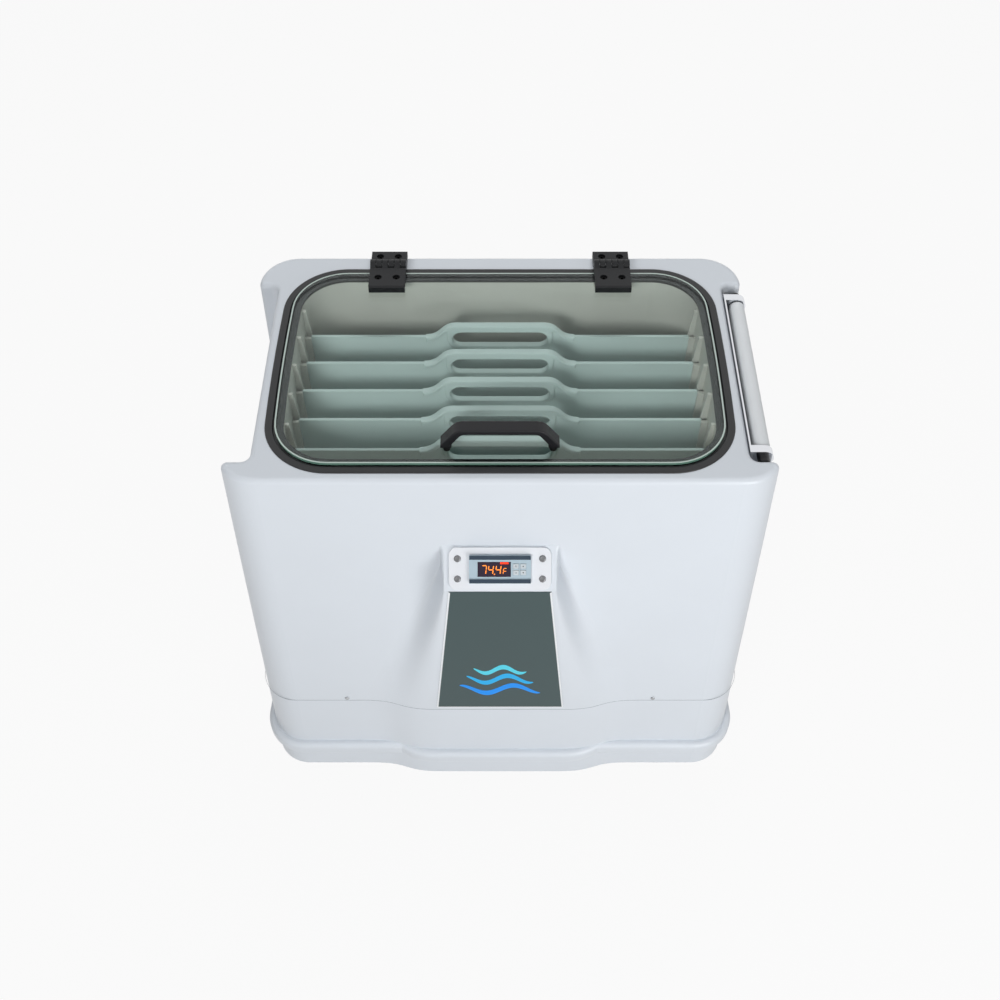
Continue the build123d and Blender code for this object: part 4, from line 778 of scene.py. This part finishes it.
@dataclass
class Controller:
    """The tilted plate with the temperature controller in it."""

    tilt: float = radians(46.25)
    bezel_top: float = 4.0 * MM
    plate_thickness: float = 3.0 * MM
    bar_reach: float = 14.5 * MM
    bar_height: float = 5.3 * MM
    bar_half: float = 37.2 * MM
    digit_height: float = 10.4 * MM
    digit_width: float = 5.6 * MM
    digit_bar: float = 1.15 * MM
    digit_slant: float = 0.12
    screw_pitch: tuple[float, float] = (103.5 * MM, 25.0 * MM)

    def face(self, node: str, out: float) -> Face:
        """A face of the tilted plate through the middle of a node, moved outwards."""
        up = np.array([0.0, cos(self.tilt), sin(self.tilt)])
        flat = Face(middle_of(node), np.array([1.0, 0.0, 0.0]), up)
        return flat.shifted(0.0, 0.0, out)

    def segment(self, letter: str) -> np.ndarray:
        """Outline of one lit bar: a long hexagon, leaning with the digit.

        Args:
            letter: The bar, a to g, by the usual names of a seven-segment digit.

        Returns:
            Six corners across and up, about the digit's middle.
        """
        half_w, half_h, bar = self.digit_width / 2, self.digit_height / 2, self.digit_bar / 2
        long_way = np.array([(-1, 0), (-1, 1), (1, 1), (1, 0), (1, -1), (-1, -1)], dtype=float)[::-1]
        level = letter in "adg"
        reach = half_w - bar * 0.4 if level else half_h / 2 - bar * 0.4
        taper = np.array([0.0, 1.0, 1.0, 0.0, 1.0, 1.0])[::-1] * bar
        along = long_way[:, 0] * reach - np.sign(long_way[:, 0]) * taper
        outline = np.stack([along, long_way[:, 1] * bar], axis=1)
        if not level:
            outline = np.stack([-outline[:, 1], outline[:, 0]], axis=1)
        places = {
            "a": (0, half_h),
            "b": (half_w, half_h / 2),
            "c": (half_w, -half_h / 2),
            "d": (0, -half_h),
            "e": (-half_w, -half_h / 2),
            "f": (-half_w, half_h / 2),
            "g": (0, 0),
        }
        outline = outline + np.array(places[letter])
        outline[:, 0] += outline[:, 1] * self.digit_slant
        return outline

    def reading(self) -> None:
        """The lit digits, their point and the status mark."""
        face = self.face("display_window", 0.6 * MM)
        lit: list[Shape] = []
        places = ((-12.6, "7", 1.0), (-4.2, "4", 1.0), (4.9, "4", 1.0), (13.0, "F", 0.68))
        for across, sign, scale in places:
            for letter in SEGMENTS[sign]:
                drop = -(1 - scale) * self.digit_height / 2
                outline = self.segment(letter) * scale + (across * MM, drop - 0.6 * MM)
                lit.append(prism(outline, face, 0.0, 0.08 * MM))
        dot = np.array([(-0.7, -0.7), (0.7, -0.7), (0.7, 0.7), (-0.7, 0.7)]) * MM + (0.2 * MM, -6.0 * MM)
        lit.append(prism(dot, face, 0.0, 0.08 * MM))
        new_piece("display_digits", join(lit), DIGIT, Ride("cabinet", "display"))
        mark = np.array([(-5.0, -1.0), (5.0, -1.0), (5.0, 1.0), (-5.0, 1.0)]) * MM + (12.2 * MM, 7.6 * MM)
        new_piece("display_status", prism(mark, face, 0.0, 0.08 * MM), STATUS, Ride("cabinet", "display"))

    def bars(self) -> None:
        """Two ribbed bars across the bezel: a grooved profile carried along X."""
        face = self.face("controller_bezel", 0.0)
        rise = self.bezel_top / 2 + 1.35 * MM
        share = np.linspace(-1, 1, 25)
        groove = 0.35 * MM * (np.cos(share * 3 * pi) * 0.5 + 0.5)
        profile = np.stack([share * self.bar_height / 2, rise - groove], axis=1)
        profile[0, 1] = profile[-1, 1] = 0.0
        for name, place in (("bezel_bar_upper", 1), ("bezel_bar_lower", -1)):
            across = np.array([-self.bar_half, self.bar_half])
            flat = np.stack(
                np.broadcast_arrays(across[:, None], profile[None, :, 0] + place * self.bar_reach), axis=-1
            )
            points = face.put(flat, np.broadcast_to(profile[:, 1], flat.shape[:-1])).reshape(-1, 3)
            faces = grid_faces(2, len(profile))
            count = len(profile)
            faces += [list(range(count - 1, -1, -1)), list(range(count, 2 * count))]
            faces.append([0, count, 2 * count - 1, count - 1])
            smooth(new_piece(name, (points, faces), BEZEL_BAR, Ride("cabinet", "bezel")), 30)

    def top_face(self, node: str) -> Face:
        """The tilted face that touches the outermost vertex of a node, over the middle of its box."""
        face = self.face(node, 0.0)
        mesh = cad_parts[node].data
        places = np.empty(len(mesh.vertices) * 3)
        mesh.vertices.foreach_get("co", places)
        return face.shifted(0.0, 0.0, float(((places.reshape(-1, 3) - face.middle) @ face.normal).max()))

    def symbols(self) -> None:
        """Dark arrows and rings on the four buttons."""
        lift = 0.02 * MM
        turn = np.linspace(0, 2 * pi, 24, endpoint=False)
        up = np.array([(-1.1, -0.8), (1.1, -0.8), (0.0, 1.0)]) * MM
        shapes = {"button_up": [up], "button_down": [up[::-1] * (1, -1)]}
        for node, outlines in shapes.items():
            face = self.top_face(node).shifted(0.0, 0.0, lift)
            arrow = join([prism(outline, face, 0.0, 0.04 * MM) for outline in outlines])
            new_piece(f"{node}_mark", arrow, INK, Ride(node, "button"))
        for node, gap in (("button_power", 0.5), ("button_set", 0.0)):
            face = self.top_face(node).shifted(0.0, 0.0, lift)
            angle = turn * (1 - gap / pi / 2) + pi / 2 + gap / 2
            ring = np.stack([np.cos(angle), np.sin(angle)], axis=1)
            outline = np.vstack([ring * 1.1 * MM, ring[::-1] * 0.75 * MM])
            points = np.vstack([face.put(outline, 0.0), face.put(outline, 0.04 * MM)])
            faces = grid_faces(2, len(outline), round_columns=True)
            count = len(ring)
            top = 2 * count
            faces += [
                [top + i, top + i + 1, top + 2 * count - 2 - i, top + 2 * count - 1 - i]
                for i in range(count - 1)
            ]
            new_piece(f"{node}_mark", (points, faces), INK, Ride(node, "button"))

    def screws(self) -> None:
        """Pan heads with a hexagon socket, in place of the plain screw heads."""
        profile = np.array(
            [(4.3, -0.2), (4.3, 0.7), (4.0, 1.15), (3.3, 1.6), (2.4, 1.75), (2.2, 1.6), (2.2, 0.3), (0.2, 0.2)]
        ) * MM
        sided = np.array([0, 0, 0, 0, 0, 1, 1, 0])
        plate = self.face("controller_plate", self.plate_thickness / 2)
        heads = []
        for across in (-1, 1):
            for up in (-1, 1):
                spot = plate.shifted(across * self.screw_pitch[0] / 2, up * self.screw_pitch[1] / 2)
                heads.append(turned(spot, profile, 48, 6, sided))
        piece = smooth(new_piece("plate_screw_heads", join(heads), DARK_STEEL, Ride("cabinet", "steel")))
        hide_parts("plate_screws")

    def build(self) -> None:
        """Dresses the controller and adds what is on its face."""
        dress("controller_plate", PLATE)
        dress("plate_screws", DARK_STEEL)
        dress("controller_bezel", BEZEL)
        dress("controller_case", CASE)
        dress("display_window", WINDOW)
        for node in ("button_set", "button_up", "button_power", "button_down"):
            dress(node, BUTTON_PAD)
        self.reading()
        self.bars()
        self.symbols()
        self.screws()


# ------------------------------------------------------------------ console label
@dataclass
class ConsoleLabel:
    """The slate film on the console, with a pale edge and a pattern of rising waves."""

    top_half: float = 63.0 * MM
    bottom_half: float = 90.0 * MM
    edge: float = 2.2 * MM
    film: float = 0.05 * MM
    face: Face = field(init=False)
    length: float = field(init=False)

    def __post_init__(self) -> None:
        """Finds the label's face from the box of its node."""
        low, high = (np.array(corner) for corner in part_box("console_panel"))
        run = (high[1] - low[1]) - 0.8 * MM
        rise = high[2] - low[2]
        self.length = hypot(run, rise)
        up = np.array([0.0, -run, rise]) / self.length
        right = np.array([1.0, 0.0, 0.0])
        out = np.cross(right, up)
        middle = np.array([0.0, low[1] + run / 2, (low[2] + high[2]) / 2]) + out * self.film
        self.face = Face(middle, right, up)

    def half_at(self, height: np.ndarray) -> np.ndarray:
        """Half width at a height along the label: straight from the bottom to the top."""
        share = height / self.length + 0.5
        return self.bottom_half + (self.top_half - self.bottom_half) * share

    def ring(self) -> Shape:
        """The pale edge: a band down both sides and along the foot; the top tucks under the plate."""
        half = self.length / 2
        corners = np.array([(-1, -1), (1, -1), (1, 1), (-1, 1)], dtype=float)
        outer = np.stack([corners[:, 0] * self.half_at(corners[:, 1] * half), corners[:, 1] * half], axis=1)
        inner_up = corners[:, 1] * (half - self.edge)
        inner = np.stack([corners[:, 0] * (self.half_at(inner_up) - self.edge), inner_up], axis=1)
        points = np.vstack([self.face.put(outer), self.face.put(inner)])
        bands = grid_faces(2, 4, round_columns=True)
        return points, bands[:2] + bands[3:]

    def wave(self, height: float, reach: float, swing: float, width: float, start: float) -> Shape:
        """A ribbon along a sine line, thick in its middle and thin at its ends.

        Args:
            height: Its height along the label.
            reach: Half its length.
            swing: Height of the sine.
            width: Half its greatest thickness.
            start: Phase of the sine.

        Returns:
            Vertices and faces.
        """
        share = np.linspace(-1, 1, 81)
        line = height + swing * np.sin(share * 1.5 * pi + start)
        thick = width * np.sqrt(np.maximum(1 - share**2, 0.0)) + 0.05 * MM
        flat = np.stack(
            [np.stack([share * reach, line - thick], axis=1), np.stack([share * reach, line + thick], axis=1)]
        )
        return self.face.put(flat, 0.03 * MM).reshape(-1, 3), grid_faces(2, 81)

    def build(self) -> None:
        """Dresses the film and lays the edge and the waves on it."""
        dress("console_panel", LABEL)
        new_piece("label_edge", self.ring(), LABEL_EDGE, Ride("cabinet", "label"))
        waves = (
            ("label_wave_low", -99.0, 56.0, 11.0, 7.0, 0.0, WAVE_BLUE),
            ("label_wave_middle", -70.0, 46.0, 10.0, 6.6, 0.5, WAVE_CYAN),
            ("label_wave_high", -44.0, 36.0, 8.5, 6.2, 1.0, WAVE_PALE),
        )
        for name, height, reach, swing, width, start, finish in waves:
            shape = self.wave(height * MM, reach * MM, swing * MM, width * MM, start)
            new_piece(name, shape, finish, Ride("cabinet", "label"))


# ------------------------------------------------------------------ shelf
@dataclass
class Shelf:
    """The folding side shelf on its chrome bracket."""

    finishes: dict[str, Finish] = field(
        default_factory=lambda: {
            "shelf_bracket": CHROME,
            "bracket_screws": STEEL,
            "shelf_panel": SHELF,
            "shelf_pivots": CAP,
        }
    )

    def build(self) -> None:
        """Dresses the shelf's nodes."""
        for node, finish in self.finishes.items():
            dress(node, finish)


# ------------------------------------------------------------------ undercarriage and power entry
@dataclass
class Undercarriage:
    """Four swivel casters under the base."""

    count: int = 4

    def build(self) -> None:
        """Dresses the plates, forks, axles and wheels."""
        dress("caster_plates", ZINC)
        dress("caster_bolts", ZINC)
        for number in range(1, self.count + 1):
            dress(f"caster_fork_{number}", ZINC)
            dress(f"caster_axle_{number}", STEEL)
            centre = middle_of(f"caster_wheel_{number}")
            finish = WheelFinish(
                f"wheel_rubber_{number}", (92, 96, 100), roughness=0.6, centre=tuple(map(float, centre))
            )
            dress(f"caster_wheel_{number}", finish)


@dataclass
class PowerEntry:
    """The mains inlet and its switch at the rear of the base."""

    finishes: dict[str, Finish] = field(
        default_factory=lambda: {
            "power_inlet": INLET,
            "inlet_screws": STEEL,
            "rocker_frame": INLET,
            "power_rocker": ROCKER,
        }
    )

    def build(self) -> None:
        """Dresses the inlet and the switch."""
        for node, finish in self.finishes.items():
            dress(node, finish)


# ------------------------------------------------------------------ studio
@dataclass(frozen=True)
class Lamp:
    """A soft square lamp: where it hangs, its side, its power and whether gloss mirrors it."""

    name: str
    place: tuple[float, float, float]
    size: float
    power: float
    mirrored: bool = False


@dataclass
class Studio:
    """A pale floor, soft lamps and the camera."""

    lamps: tuple[Lamp, ...] = (
        Lamp("key_lamp", (-0.8, -2.3, 2.1), 0.8, 38.0),
        Lamp("side_lamp", (1.0, -1.7, 0.85), 0.9, 16.0, mirrored=True),
        Lamp("rear_lamp", (0.3, 1.6, 2.6), 1.4, 30.0),
    )
    aim: tuple[float, float, float] = (0.0, 0.0, 0.6)

    focal: float = 44.1
    sensor: float = 36.0
    pitch: float = radians(50.763)
    eye: tuple[float, float, float] = (0.0, -1089.45 * MM, 1835.0 * MM)
    floor_half: float = 6.0
    floor_white: float = 0.93
    world_level: float = 0.16

    def camera(self) -> None:
        """The camera, looking along +Y and down."""
        lens = bpy.data.cameras.new("camera")
        lens.lens = self.focal
        lens.sensor_width = self.sensor
        lens.clip_end = 50.0
        camera = bpy.data.objects.new("camera", lens)
        camera.location = self.eye
        camera.rotation_euler = (pi / 2 - self.pitch, 0.0, 0.0)
        bpy.context.scene.collection.objects.link(camera)
        bpy.context.scene.camera = camera

    def seen(self, tree: bpy.types.NodeTree) -> bpy.types.NodeSocket:
        """1 on camera, glossy and transmission rays that no dull face has scattered, and 0 on the rest."""
        path = tree.nodes.new("ShaderNodeLightPath")
        found = path.outputs["Is Camera Ray"]
        for other in ("Is Glossy Ray", "Is Transmission Ray"):
            most = tree.nodes.new("ShaderNodeMath")
            most.operation = "MAXIMUM"
            tree.links.new(found, most.inputs[0])
            tree.links.new(path.outputs[other], most.inputs[1])
            found = most.outputs["Value"]
        direct = tree.nodes.new("ShaderNodeMath")
        direct.operation = "LESS_THAN"
        direct.inputs[1].default_value = 0.5
        tree.links.new(path.outputs["Diffuse Depth"], direct.inputs[0])
        both = tree.nodes.new("ShaderNodeMath")
        both.operation = "MULTIPLY"
        tree.links.new(found, both.inputs[0])
        tree.links.new(direct.outputs["Value"], both.inputs[1])
        return both.outputs["Value"]

    def world(self) -> None:
        """A soft world at a plain level; rays that see it meet plain white."""
        world = bpy.data.worlds.new("studio")
        world.use_nodes = True
        bpy.context.scene.world = world
        tree = world.node_tree
        back = tree.nodes["Background"]
        back.inputs["Color"].default_value = (1.0, 1.0, 1.0, 1.0)
        level = tree.nodes.new("ShaderNodeMapRange")
        level.inputs["To Min"].default_value = self.world_level
        level.inputs["To Max"].default_value = 1.0
        tree.links.new(self.seen(tree), level.inputs["Value"])
        tree.links.new(level.outputs["Result"], back.inputs["Strength"])

    def floor(self) -> None:
        """A wide pale floor: near white to the rays that see it, with the heater's shadow kept."""
        half = self.floor_half
        corners = np.array([(-half, -half, 0.0), (half, -half, 0.0), (half, half, 0.0), (-half, half, 0.0)])
        mesh = bpy.data.meshes.new("floor")
        mesh.from_pydata((corners - (0, 0, 0.5 * MM)).tolist(), [], [[0, 1, 2, 3]])
        floor = bpy.data.objects.new("floor", mesh)
        bpy.context.scene.collection.objects.link(floor)
        material = bpy.data.materials.new("floor_paint")
        desk = NodeDesk(material)
        desk.shader.inputs["Base Color"].default_value = (0.45, 0.45, 0.45, 1.0)
        desk.shader.inputs["Roughness"].default_value = 0.9
        white = desk.add("ShaderNodeEmission", Strength=1.0)
        share = desk.add("ShaderNodeMath", operation="MULTIPLY")
        share.inputs[1].default_value = self.floor_white
        desk.link(self.seen(desk.tree), share.inputs[0])
        mix = desk.add("ShaderNodeMixShader")
        desk.link(share.outputs["Value"], mix.inputs[0])
        desk.link(desk.shader.outputs["BSDF"], mix.inputs[1])
        desk.link(white.outputs["Emission"], mix.inputs[2])
        desk.link(mix.outputs["Shader"], desk.tree.nodes["Material Output"].inputs["Surface"])
        mesh.materials.append(material)

    def lamp(self, lamp: "Lamp") -> None:
        """Hangs one soft square lamp and aims it at the middle of the heater.

        Args:
            lamp: What to hang.
        """
        data = bpy.data.lights.new(lamp.name, "AREA")
        data.size = lamp.size
        data.energy = lamp.power
        item = bpy.data.objects.new(lamp.name, data)
        item.location = lamp.place
        run = np.array(self.aim) - np.array(lamp.place)
        item.rotation_euler = (atan2(hypot(run[0], run[1]), -run[2]), 0.0, atan2(-run[0], run[1]))
        item.visible_glossy = lamp.mirrored
        item.visible_transmission = lamp.mirrored
        bpy.context.scene.collection.objects.link(item)

    def build(self) -> None:
        """Makes the studio."""
        bpy.context.scene.view_settings.view_transform = "Standard"
        self.camera()
        self.world()
        self.floor()
        for lamp in self.lamps:
            self.lamp(lamp)


def main() -> None:
    """Builds the studio and each sub-assembly in turn."""
    logging.basicConfig(level=logging.INFO, format="%(name)s: %(message)s")
    parts = (
        Studio(),
        Cabinet(),
        Tank(),
        Lid(),
        Controller(),
        ConsoleLabel(),
        Shelf(),
        Undercarriage(),
        PowerEntry(),
    )
    for part in parts:
        part.build()
        LOG.info("%s built", type(part).__name__)


if __name__ == "__main__":
    main()
